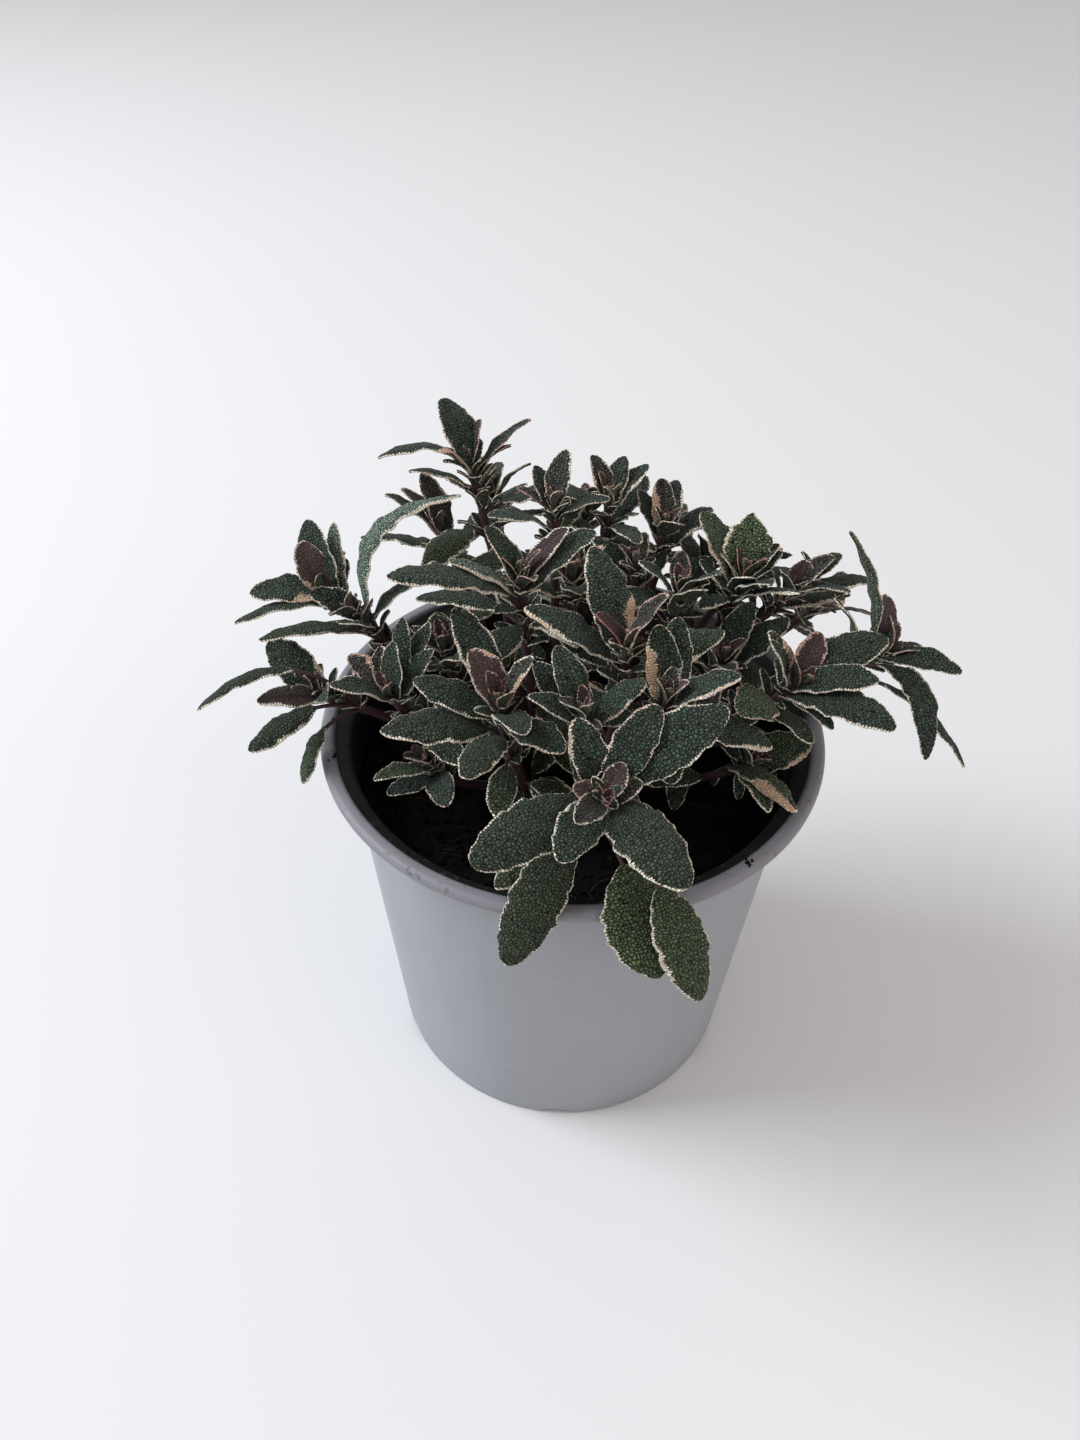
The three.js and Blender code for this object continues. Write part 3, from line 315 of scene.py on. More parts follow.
SHOOTS = (
    Shoot("front", (11, -84, 204), 60, 7, 1.05, (
        Note(1, (5, 10, 8), 0.6), Note(1, (-10, 2, 5), 0.66), Note(2, (11, 7, 3), 0.62),
        Note(3, (-10, 21, 15), 0.5), Note(3, (15, 24, 19)), Note(4, (36, 24, 19)),
        Note(4, (-13, -20, -4), 0.5), Note(5, (-38, -22, -5)), Note(5, (23, -30, -1)),
        Note(6, (-29, -21, -54), 0.4), Note(7, (20, -23, -54), 0.7, stalk=0.44, tint=Tint.GREEN),
        Note(6, (34, -25, -62), 0.46, stalk=0.48, arch=1.4, tint=Tint.OLIVE),
        Note(7, (-33, -5, -36), 0.4),
    )),
    Shoot("centre_left", (-23, -49, 212), 50, 7, 1.0, (
        Note(2, (-10, 7, 15), 0.55, tint=Tint.MAUVE), Note(3, (-16, 21, 21), 0.36),
        Note(2, (10, 5, 15), 0.36, patch=Patch.FAR), Note(4, (-29, 8, 1)), Note(5, (-37, -12, 0), 0.42),
        Note(4, (21, -21, -1)), Note(5, (-8, -32, -7), 0.4), Note(6, (1, -26, -26), 0.5, stalk=0.4),
    )),
    Shoot("centre", (4, -54, 214), 20, 5, 0.8, (
        Note(2, (5, -7, -1)), Note(3, (-18, -1, 6)), Note(3, (-10, 16, 13)), Note(4, (18, 3, 11)),
        Note(4, (-17, 16, 6)),
    )),
    Shoot("centre_right", (30, -46, 214), 80, 6, 0.95, (
        Note(3, (-4, 16, 17), patch=Patch.NEAR), Note(4, (3, 22, 16)), Note(2, (14, -5, 7)),
        Note(3, (21, -4, 13)),
    )),
    Shoot("middle", (17, -32, 224), 40, 7, 1.0, (
        Note(1, (-11, 1, 11)), Note(2, (11, 0, 16)), Note(4, (-13, 24, 21), 0.42, patch=Patch.BASE_FAR),
        Note(4, (-34, 5, 9), 0.4), Note(5, (32, 12, -2)),
    )),
    Shoot("upper_centre", (-19, -10, 234), 100, 7, 1.0, (
        Note(3, (-12, 5, 15)), Note(2, (15, 11, 12), 0.36, tint=Tint.MAUVE), Note(3, (24, 11, 11)),
        Note(4, (-23, -8, 10), 0.3, tint=Tint.PALE), Note(4, (-40, -23, 13), 0.34),
        Note(5, (-39, 18, -24), 0.3), Note(5, (-9, -25, -18), 0.54),
        Note(6, (20, -22, -12), 0.28, arch=1.5),
    )),
    Shoot("left_inner", (-65, -25, 194), 30, 6, 0.75, (
        Note(3, (16, 10, 11), 0.5), Note(2, (-3, 12, 10), 0.5), Note(2, (-14, 10, 7), patch=Patch.FAR),
        Note(3, (-17, -8, 8)), Note(4, (4, 21, 16), 0.3), Note(4, (13, 23, 13), 0.3),
    )),
    Shoot("left_upper", (-83, 6, 204), 70, 6, 0.8, (
        Note(3, (26, 6, 11)), Note(4, (39, 34, 30), 0.22, arch=2.8, stalk=0.1, tint=Tint.PALE),
        Note(2, (8, 6, 0), 0.5), Note(5, (-29, -16, -2), 0.26),
    )),
    Shoot("left_outer", (-95, 15, 206), 60, 5, 0.85, (
        Note(3, (-4, 12, 23), 0.5), Note(4, (5, 14, 21), 0.36, tint=Tint.PALE),
        Note(2, (-5, 6, 13), 0.55, tint=Tint.MAUVE), Note(2, (9, 9, 12), 0.5),
        Note(3, (-24, -6, 6), 0.42, roll=25, patch=Patch.BASE_NEAR), Note(4, (-28, -16, -4), 0.26),
    )),
    Shoot("left_low", (-96, -18, 184), 10, 6, 0.9, (
        Note(5, (-39, -5, -5), 0.2, arch=2.0, stalk=0.42), Note(3, (-15, 15, 12), 0.5),
        Note(2, (0, 12, 9), 0.3), Note(2, (4, 11, 6), 0.5), Note(4, (-17, -3, -1), 0.5, tint=Tint.MAUVE),
        Note(5, (-15, -25, -5), 0.42, stalk=0.42, roll=20),
        Note(5, (0, -20, -25), 0.5, stalk=0.42, arch=1.4, tint=Tint.OLIVE),
    )),
    Shoot("top_left", (-44, 66, 234), 65, 7, 1.0, (
        Note(3, (-11, 12, 19), 0.48), Note(2, (-11, 10, 13), 0.5), Note(1, (4, 8, 13)),
        Note(3, (23, 12, 12), 0.3), Note(2, (16, 6, 4), 0.3),
        Note(4, (-31, -21, 11), 0.34, arch=2.0, patch=Patch.BASE_NEAR), Note(4, (-22, -10, 0), 0.36),
        Note(1, (-13, 0, 4), 0.5, tint=Tint.MAUVE),
    )),
    Shoot("top_centre", (-10, 39, 234), 15, 7, 0.85, (
        Note(2, (4, 8, 16)), Note(3, (-8, 10, 8)), Note(4, (-23, -15, 1)), Note(3, (20, -7, 5)),
        Note(2, (-14, 2, 3)),
    )),
    Shoot("top_middle", (10, 44, 234), 55, 7, 0.85, (
        Note(2, (-7, 9, 11)), Note(3, (14, 9, 8)), Note(3, (5, 11, 10)), Note(4, (11, -26, -4), 0.34),
    )),
    Shoot("top_right", (31, 41, 224), 95, 6, 0.85, (
        Note(2, (-2, 11, 13), patch=Patch.NEAR), Note(3, (4, 12, 12)), Note(3, (-10, 11, 8)),
        Note(4, (18, 8, 3), 0.5),
    )),
    Shoot("mid_right", (37, 17, 214), 30, 6, 0.85, (
        Note(2, (0, 15, 5)), Note(2, (10, -2, 3)), Note(3, (-16, -3, 11)), Note(3, (12, -11, 13)),
        Note(4, (12, 24, -3)),
    )),
    Shoot("right_upper", (83, 31, 204), 35, 6, 0.9, (
        Note(1, (2, 6, 9), 0.6, tint=Tint.MAUVE), Note(3, (15, 9, 11), 0.36),
        Note(3, (17, -7, 5), 0.36, arch=1.5), Note(5, (29, 7, 2), 0.34, stalk=0.45),
        Note(4, (-22, 9, 12), 0.28), Note(5, (-27, 10, 1), 0.24, stalk=0.15, arch=1.5),
    )),
    Shoot("right_front", (79, -18, 199), 75, 7, 1.0, (
        Note(2, (-13, 11, 14), patch=Patch.FAR), Note(2, (5, 13, 13), 0.5, tint=Tint.MAUVE),
        Note(5, (29, 14, 11), 0.46, stalk=0.34), Note(3, (22, -9, 6), 0.44, roll=-15),
        Note(4, (26, -25, 3), 0.38, roll=-20), Note(3, (9, -16, -6)),
        Note(4, (-25, -24, 6), 0.54, tint=Tint.OLIVE), Note(5, (2, -20, -9), 0.44),
        Note(1, (12, 0, 3), 0.55, tint=Tint.MAUVE),
    )),
    Shoot("far_right", (115, 7, 194), 25, 6, 0.95, (
        Note(3, (-22, 12, 44), 0.2, roll=-30, tint=Tint.PALE),
        Note(3, (-1, 19, 17), 0.5, tint=Tint.MAUVE), Note(1, (10, -4, 0), 0.6),
        Note(2, (10, -2, 5), 0.5, tint=Tint.MAUVE), Note(3, (21, -14, 4), 0.34, roll=-35),
        Note(4, (10, -34, -16), 0.3, roll=-35, arch=2.4), Note(5, (28, -27, -29), 0.2, stalk=0.3),
        Note(5, (-21, 5, 4), 0.5),
    )),
    Shoot("back_right", (61, 27, 214), 50, 6, 0.95, (
        Note(3, (2, 15, 16), 0.56, tint=Tint.GREEN), Note(2, (12, 7, 8)), Note(2, (-12, 6, 8)),
        Note(5, (16, -22, 7), 0.3),
    )),
    Shoot("right_inner", (54, 2, 194), 85, 5, 0.95, (
        Note(3, (9, 13, 15), 0.42), Note(4, (23, 11, 10), 0.42), Note(4, (-8, -4, 9), tint=Tint.OLIVE),
    )),
    Shoot("right_low", (66, -30, 172), 20, 4, 0.8, (
        Note(3, (19, 6, 5), 0.6, tint=Tint.OLIVE), Note(2, (-1, 5, 1), 0.5, tint=Tint.OLIVE),
        Note(3, (-5, -4, -15), 0.55), Note(4, (-14, 6, -18), 0.5, tint=Tint.OLIVE),
        Note(4, (2, -22, -6), 0.42, arch=1.5, tint=Tint.OLIVE),
        Note(5, (11, -23, -4), 0.36, arch=1.5, patch=Patch.TIP_FAR, tint=Tint.OLIVE),
    )),
    Shoot("left_front_low", (-52, -34, 168), 45, 5, 0.7, (
        Note(3, (-15, -15, 6), 0.34, tint=Tint.OLIVE), Note(3, (11, -21, 1)), Note(2, (-6, -5, 8)),
    )),
    Shoot("left_middle", (-48, -2, 198), 15, 6, 0.8, (
        Note(3, (-5, 20, -3)), Note(4, (9, -18, 7)),
    )),
    Shoot("upper_left", (-56, 60, 205), 40, 5, 0.9, (
        Note(3, (-21, 2, 15), 0.4), Note(2, (-15, 5, 16), 0.4, tint=Tint.MAUVE),
        Note(3, (-15, -6, -2), 0.5, patch=Patch.NEAR, tint=Tint.OLIVE), Note(4, (-30, -9, 2), 0.34),
        Note(2, (-7, 7, 22), 0.4),
    )),
    Shoot("back_left", (-40, 94, 204), 70, 5, 0.9),
    Shoot("back", (2, 86, 206), 20, 6, 0.9),
    Shoot("back_centre_right", (38, 82, 198), 75, 5, 0.9),
    Shoot("back_far_right", (73, 72, 188), 30, 5, 0.9),
    Shoot("right_back", (100, 46, 188), 60, 5, 0.85),
    Shoot("back_inner_right", (50, 48, 204), 40, 5, 0.95),
    Shoot("centre_back", (-2, 16, 217), 10, 5, 0.95),
    Shoot("mid_back", (20, 20, 222), 80, 5, 0.9),
    Shoot("low_centre", (-20, -36, 180), 25, 4, 0.95),
    Shoot("low_right", (44, -22, 180), 65, 4, 1.0),
)

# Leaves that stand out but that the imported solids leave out, most of them small
LATE = {
    "left_outer": (
        Note(2, (-5, 4, 15), 0.6, roll=-20, tint=Tint.MAUVE),
        Note(2, (11, 5, 15), 0.56, roll=-55, tint=Tint.MAUVE),
    ),
    "left_upper": (
        Note(3, (-12, -2, 9), roll=40), Note(4, (-17, -8, 3), 0.36),
        Note(2, (-1, 3, 6), 0.6, tint=Tint.MAUVE), Note(3, (10, -3, 8), 0.5, tint=Tint.MAUVE),
    ),
    "left_inner": (Note(3, (3, 7, 16)),),
    "back_right": (
        Note(3, (-17, 14, 12), 0.6, tint=Tint.OLIVE), Note(3, (13, 5, 6), 0.5), Note(4, (-17, 2, 3), 0.5),
        Note(4, (0, -12, 6), 0.5, tint=Tint.OLIVE), Note(5, (7, 27, -36), 0.6),
    ),
    "back_far_right": (Note(4, (9, 10, -25), 0.6), Note(5, (1, 17, -28), 0.5)),
    "right_back": (Note(5, (-5, 20, -29), 0.6), Note(4, (-15, 23, -22), 0.55)),
    "mid_right": (Note(5, (5, -21, 5), 0.4),),
    "back_inner_right": (Note(3, (10, -9, 7)),),
    "right_inner": (Note(4, (-1, 16, 9), 0.5, patch=Patch.TIP_FAR),),
    "right_upper": (
        Note(2, (1, 4, 11), 0.7, roll=25, tint=Tint.MAUVE), Note(2, (11, 4, 13), 0.42),
        Note(3, (-12, 2, 9), 0.5), Note(4, (-4, -14, -6), 0.4, patch=Patch.TIP_NEAR),
    ),
    "right_front": (Note(2, (11, -3, 5), 0.7, roll=-45, tint=Tint.MAUVE), Note(3, (-14, 0, 18), 0.4)),
    "right_low": (Note(2, (1, 9, 5), 0.5),),
}


class Draw:
    """Seeded draws between 0 and 1, made with 32-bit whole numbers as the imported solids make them."""

    WORD = 0xFFFFFFFF
    STRIDE = 0x6D2B79F5

    def __init__(self, seed: int) -> None:
        """Starts the draws at a seed."""
        self.state = seed & self.WORD

    def unit(self) -> float:
        """Returns the next draw between 0 and 1: the state is stepped, then its bits are mixed."""
        self.state = (self.state + self.STRIDE) & self.WORD
        t = self.state
        t = ((t ^ (t >> 15)) * (t | 1)) & self.WORD
        t = (t ^ (t + (((t ^ (t >> 7)) * (t | 61)) & self.WORD))) & self.WORD
        return ((t ^ (t >> 14)) & self.WORD) / (self.WORD + 1.0)

    def between(self, low: float, high: float) -> float:
        """Returns the next draw between two limits."""
        return low + (high - low) * self.unit()


@dataclass
class Bow:
    """A curve from start to end, drawn towards a middle point: a quadratic through three control points."""

    start: Array
    middle: Array
    end: Array

    def point(self, t: Grid) -> Array:
        """Returns the points at shares t: start (1-t)^2 + middle 2t(1-t) + end t^2."""
        t = np.asarray(t, float)[..., None]
        return self.start * (1 - t) ** 2 + self.middle * (2 * t * (1 - t)) + self.end * t ** 2

    def heading(self, t: Grid) -> Array:
        """Returns the unit directions at shares t: (middle - start) 2(1-t) + (end - middle) 2t."""
        t = np.asarray(t, float)[..., None]
        return unit((self.middle - self.start) * (2 * (1 - t)) + (self.end - self.middle) * (2 * t))


class Stem:
    """The stem of a shoot, from the soil to its crown.

    Far crowns root nearer the middle and rise before they lean.
    """

    def __init__(self, shoot: Shoot) -> None:
        """Works out the stem's bow from the place of its crown.

        Args:
            shoot: the shoot that the stem carries.
        """
        crown = np.array(shoot.crown, float)
        reach = math.hypot(crown[0], crown[1])
        pull = STEM.pull - STEM.pull_far * ease(*STEM.pull_reach, reach)
        far = ease(*STEM.far_reach, reach)
        root = np.array([crown[0] * pull, crown[1] * pull, POT.soil_top + STEM.start])
        middle = root + (STEM.spread - STEM.spread_far * far) * (crown - root)
        middle[2] = POT.soil_top + (STEM.lift + STEM.lift_far * far) * (crown[2] - POT.soil_top)
        self.bow = Bow(root, middle, crown)
        marks = self.bow.point(np.linspace(0, 1, STEM.marks + 1))
        self.pieces = np.linalg.norm(np.diff(marks, axis=0), axis=1)
        self.length = float(self.pieces.sum())

    def share_below(self, drop: float) -> float:
        """Works out where on the curve a length below the crown is.

        Args:
            drop: the length along the stem, from the crown down.

        Returns:
            The share of the curve, from 0 at the soil to 1 at the crown.
        """
        passed = 0.0
        i = STEM.marks - 1
        while i > 0 and passed + self.pieces[i] < drop:
            passed += self.pieces[i]
            i -= 1
        return (i + 1 - min((drop - passed) / self.pieces[i], 1.0)) / STEM.marks

    def below(self, drop: float) -> tuple[Array, Array]:
        """Returns the point a given length below the crown and the axis that its leaves stand round."""
        t = self.share_below(drop)
        return self.bow.point(t), unit(self.bow.heading(t) + UP * STEM.upright)

    @staticmethod
    def frame(axis: Array) -> tuple[Array, Array]:
        """Returns two directions square to an axis, the first one towards +X."""
        first = unit(EAST - axis * axis[0])
        return first, np.cross(axis, first)

    @staticmethod
    def lean(axis: Array, turn: float, rise: float) -> Array:
        """Works out a leaf's direction: (first cos(turn) + second sin(turn)) cos(rise) + axis sin(rise).

        Args:
            axis: the axis that the leaf stands round.
            turn: its heading round the axis in radians.
            rise: its slope in radians.

        Returns:
            The unit direction from the leaf's base to its tip.
        """
        first, second = Stem.frame(axis)
        flat = first * math.cos(turn) + second * math.sin(turn)
        return flat * math.cos(rise) + axis * math.sin(rise)


@dataclass
class Leaf:
    """A leaf from its stem to its tip, arched towards its upper side, in millimetres."""

    shoot: int
    pair: int
    base: Array
    tip: Array
    up: Array
    arch: float
    width: float
    stalk: float
    cup: float
    roll: float
    noted: bool = False
    tone: float = 0.5
    tint: Tint = Tint.PLAIN
    patch: Patch = Patch.NONE

    def __post_init__(self) -> None:
        """Works out the midrib's bow and the blade's sideways direction."""
        self.chord = self.tip - self.base
        middle = self.base + LEAF.control * self.chord + self.up * (2 * self.arch)
        self.bow = Bow(self.base, middle, self.tip)
        self.across = unit(np.cross(self.chord, self.up))

    @property
    def length(self) -> float:
        """Returns about how long the arched leaf is."""
        return float(np.linalg.norm(self.chord)) + LEAF.arch_gain * self.arch

    @property
    def age(self) -> float:
        """Returns 0 for the youngest pair and 1 for the oldest."""
        return self.pair / (len(LEAF.drop) - 1)

    def at(self, t: Array) -> tuple[Array, Array, Array]:
        """Works out the leaf's frame along its midrib, which turns by the roll over its first part.

        Args:
            t: shares of the midrib.

        Returns:
            The midrib's points, and the blade's sideways and upward directions there.
        """
        heading = self.bow.heading(t)
        face = np.cross(np.broadcast_to(self.across, heading.shape), heading)
        turn = (self.roll * np.minimum(np.asarray(t, float) / LEAF.turn_by, 1.0))[..., None]
        side = self.across * np.cos(turn) + face * np.sin(turn)
        return self.bow.point(t), side, face * np.cos(turn) - self.across * np.sin(turn)

    def blade_share(self, t: Array) -> Array:
        """Returns the share of the blade that is passed, 0 along the stalk."""
        return np.clip((np.asarray(t, float) - self.stalk) / (1 - self.stalk), 0.0, 1.0)

    def half(self, t: Array) -> Array:
        """Returns half the width: a stalk, then a blade widest before its middle, sin(pi s^belly)^point."""
        blade = outline(self.blade_share(t), LEAF.belly, LEAF.point)
        return np.maximum(self.width / 2 * blade, LEAF.stalk_half_width)

    def points(self) -> Array:
        """Returns points over the blade, for the test of its room: midrib + half u, raised by cup |u|."""
        t = np.linspace(0, 1, math.ceil(self.length / ROOM.step) + 1)
        u = np.linspace(-1, 1, math.ceil(self.width / ROOM.step) + 1)
        point, side, face = self.at(t)
        half = self.half(t)[:, None]
        spread = side[:, None, :] * (half * u)[..., None]
        raised = face[:, None, :] * (self.cup * half * np.abs(u))[..., None]
        return (point[:, None, :] + spread + raised).reshape(-1, 3)


def blocked(points: Array) -> bool:
    """Tests a leaf against the pot and the soil.

    Args:
        points: points spread over the leaf.

    Returns:
        True where a point would touch the rim, the wall or the soil.
    """
    r = np.hypot(points[:, 0], points[:, 1])
    z = points[:, 2]
    outer = POT.outer(np.clip(z / POT.neck, 0.0, 1.0))
    rim = (z < POT.height + ROOM.clear_pot) & (z > POT.neck - ROOM.clear_pot)
    rim &= (r > POT.neck_radius - POT.wall - ROOM.clear_pot) & (r < POT.rim_radius + ROOM.clear_pot)
    wall = (z < POT.neck) & (r > outer - POT.wall - ROOM.clear_pot) & (r < outer + ROOM.clear_pot)
    soil = (z < POT.soil_top + ROOM.clear_soil) & (r < outer)
    return bool(np.any(rim | wall | soil))


@dataclass
class Kept:
    """The points of a stem or leaf that has its place, with each point's distance from where it starts."""

    shoot: int
    pair: int
    points: Array
    own: Array

    def __post_init__(self) -> None:
        """Works out the box round the points."""
        self.low = self.points.min(0)
        self.high = self.points.max(0)


@dataclass(frozen=True)
class Trial:
    """A leaf on trial: its stem, its form's pair, how far below the crown it stands, and how it leans."""

    shoot: int
    pair: int
    drop: float
    turn: float
    rise: float
    reach: float
    tone: float
    roll: float = 0.0
    arch: float = 1.0


class Growth:
    """The leaves of every shoot: first those that stand out, then the others pair by pair."""

    TURN = 10.0
    RISE = 7.0
    SIZE = (0.88, 1.08)
    ROLL = 0.25
    ARCH = (0.6, 1.4)

    def __init__(self, shoots: Sequence[Shoot], seed: int) -> None:
        """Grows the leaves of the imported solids.

        Args:
            shoots: the plan of every shoot.
            seed: where the draws start.
        """
        self.shoots = shoots
        self.stems = [Stem(shoot) for shoot in shoots]
        self.leaves: list[Leaf] = []
        self.kept: list[Kept] = []
        self.clear = ROOM.clear
        for index, stem in enumerate(self.stems):
            points = stem.bow.point(np.linspace(0, 1, math.ceil(stem.length / ROOM.step) + 1))
            self.kept.append(Kept(index, -1, points, np.zeros(len(points))))
        self.taken = [self.grow_noted(shoot, index) for index, shoot in enumerate(shoots)]
        self.grow_pairs(Draw(seed))

    def has_room(self, leaf: Leaf, points: Array, own: Array) -> bool:
        """Tests a leaf's room. Young leaves may close on their own crown.

        Args:
            leaf: the leaf on trial.
            points: points spread over it.
            own: each point's distance from the leaf's base.

        Returns:
            True where the leaf keeps its room.
        """
        if blocked(points):
            return False
        near = ROOM.near_noted if leaf.noted else ROOM.near_own
        clear_own = ROOM.clear_noted if leaf.noted else ROOM.clear_own
        low, high = points.min(0) - self.clear, points.max(0) + self.clear
        for other in self.kept:
            if np.any(other.low > high) or np.any(other.high < low):
                continue
            mine, theirs, room = points, other.points, self.clear
            if other.shoot == leaf.shoot:
                if leaf.pair <= 1 or other.pair <= 1:
                    continue
                mine, theirs, room = points[own > near], other.points[other.own > near], clear_own
                if len(mine) == 0 or len(theirs) == 0:
                    continue
            gaps = np.linalg.norm(mine[:, None, :] - theirs[None, :, :], axis=-1)
            if gaps.min() < room:
                return False
        return True

    def keep_if_free(self, leaf: Leaf) -> bool:
        """Keeps a leaf where it has room.

        Args:
            leaf: the leaf on trial.

        Returns:
            True where it is kept.
        """
        points = leaf.points()
        own = np.linalg.norm(points - leaf.base, axis=1)
        if not self.has_room(leaf, points, own):
            return False
        self.leaves.append(leaf)
        self.kept.append(Kept(leaf.shoot, leaf.pair, points, own))
        return True

    def grow_noted(self, shoot: Shoot, index: int) -> set[tuple[int, int]]:
        """Grows the leaves that stand out on one shoot, each raised or lowered a little until it has room.

        Args:
            shoot: the shoot's plan.
            index: its number.

        Returns:
            The places in the crossed pairs that they take, as (pair, side).
        """
        taken: set[tuple[int, int]] = set()
        for note in shoot.leaves:
            base, axis = self.stems[index].below(LEAF.drop[note.pair])
            tip = np.array(shoot.crown, float) + np.array(note.tip, float)
            reach = float(np.linalg.norm(tip - base))
            way = (tip - base) / reach
            stalk = LEAF.stalk[note.pair] if note.stalk is None else note.stalk
            arch = LEAF.arch[note.pair] * note.arch * reach
            width = reach * (1 - stalk) * note.slender
            up = unit(axis - way * (axis @ way))
            grown = any(
                self.keep_if_free(Leaf(
                    index, note.pair, base, tip + UP * lift, up, arch, width, stalk, LEAF.cup[note.pair],
                    math.radians(note.roll), noted=True, tint=note.tint, patch=note.patch,
                ))
                for lift in ROOM.lifts
            )
            if not grown:
                continue
            first, second = Stem.frame(axis)
            heading = math.degrees(math.atan2(way @ second, way @ first))
            turn = shoot.turn + 90 * note.pair
            off = [abs((heading - angle + 180) % 360 - 180) for angle in (turn, turn + 180)]
            side = 0 if off[0] < off[1] else 1
            taken.add((note.pair, 1 - side if (note.pair, side) in taken else side))
        return taken

    def grow_trial(self, trial: Trial, shrinks: Sequence[float], nudges: Sequence[Span]) -> None:
        """Grows one leaf, turned, raised or shortened until it has room, or leaves it out.

        Args:
            trial: the leaf as planned.
            shrinks: the shares of its length to try.
            nudges: the turns and rises to try at each length, in degrees.
        """
        pair = trial.pair
        base, axis = self.stems[trial.shoot].below(trial.drop)
        stalk = LEAF.stalk[pair]
        for shrink in shrinks:
            reach = trial.reach * shrink
            for more_turn, more_rise in nudges:
                turn = math.radians(trial.turn + more_turn)
                way = Stem.lean(axis, turn, math.radians(trial.rise + more_rise))
                if self.keep_if_free(Leaf(
                    trial.shoot, pair, base, base + way * reach, unit(axis - way * (axis @ way)),
                    LEAF.arch[pair] * trial.arch * reach, reach * (1 - stalk) * LEAF.slender, stalk,
                    LEAF.cup[pair], trial.roll, tone=trial.tone,
                )):
                    return

    def grow_pairs(self, draw: Draw) -> None:
        """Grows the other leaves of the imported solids, one pair on every shoot before the next.

        Args:
            draw: the draws for their turn, rise, size, roll, arch and tone.
        """
        for pair in range(len(LEAF.drop)):
            for index, shoot in enumerate(self.shoots):
                if pair >= shoot.pairs:
                    continue
                for side in (0, 1):
                    turn = draw.between(-self.TURN, self.TURN)
                    rise = draw.between(-self.RISE, self.RISE)
                    size = draw.between(*self.SIZE)
                    roll = draw.between(-self.ROLL, self.ROLL)
                    arch = draw.between(*self.ARCH)
                    tone = draw.unit()
                    if (pair, side) in self.taken[index]:
                        continue
                    self.grow_trial(Trial(
                        index, pair, LEAF.drop[pair], shoot.turn + 90 * pair + 180 * side + turn,
                        LEAF.rise[pair] + rise, LEAF.reach[pair] * size * shoot.size, tone, roll, arch,
                    ), ROOM.shrinks, ROOM.nudges)

    def grow_more(self, draw: Draw) -> None:
        """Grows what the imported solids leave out: late leaves, axil leaves and old leaves low on the stems.

        Args:
            draw: the draws for their turn, reach, rise, tone and place.
        """
        self.clear = MORE.clear
        for index, shoot in enumerate(self.shoots):
            self.grow_noted(replace(shoot, leaves=LATE.get(shoot.name, ())), index)
        for index in range(len(self.shoots)):
            self.grow_axils(index, draw)
            self.grow_low(index, draw)

    def grow_axils(self, index: int, draw: Draw) -> None:
        """Grows small leaves on both sides of each pair's axils.

        Args:
            index: the shoot's number.
            draw: the draws.
        """
        shoot = self.shoots[index]
        for pair in range(MORE.axil_first, shoot.pairs):
            for side in (-90, 90):
                for aside in (-MORE.axil_turn, MORE.axil_turn):
                    turn = shoot.turn + 90 * pair + side + aside + draw.between(*MORE.axil_stray)
                    shortest, longest = MORE.axil_reach
                    reach = draw.between(shortest, longest + MORE.axil_longer * pair) * shoot.size
                    rise = draw.between(*MORE.axil_rise)
                    tone = draw.unit()
                    drop = LEAF.drop[pair] + draw.between(*MORE.axil_shift)
                    trial = Trial(index, MORE.axil_form, drop, turn, rise, reach, tone)
                    self.grow_trial(trial, MORE.shrinks, MORE.nudges)

    def grow_low(self, index: int, draw: Draw) -> None:
        """Grows old leaves low on one stem, where it is long enough.

        Args:
            index: the shoot's number.
            draw: the draws.
        """
        shoot = self.shoots[index]
        for k, drop in enumerate(MORE.low_drops):
            for side in (0, 180):
                turn = shoot.turn + 90 * (shoot.pairs + k) + side + draw.between(*MORE.low_stray)
                rise = draw.between(*MORE.low_rise)
                reach = draw.between(*MORE.low_reach) * shoot.size
                trial = Trial(index, MORE.low_form, drop, turn, rise, reach, draw.unit())
                if drop < self.stems[index].length - MORE.low_clear:
                    self.grow_trial(trial, MORE.shrinks, MORE.nudges)


# Meshes


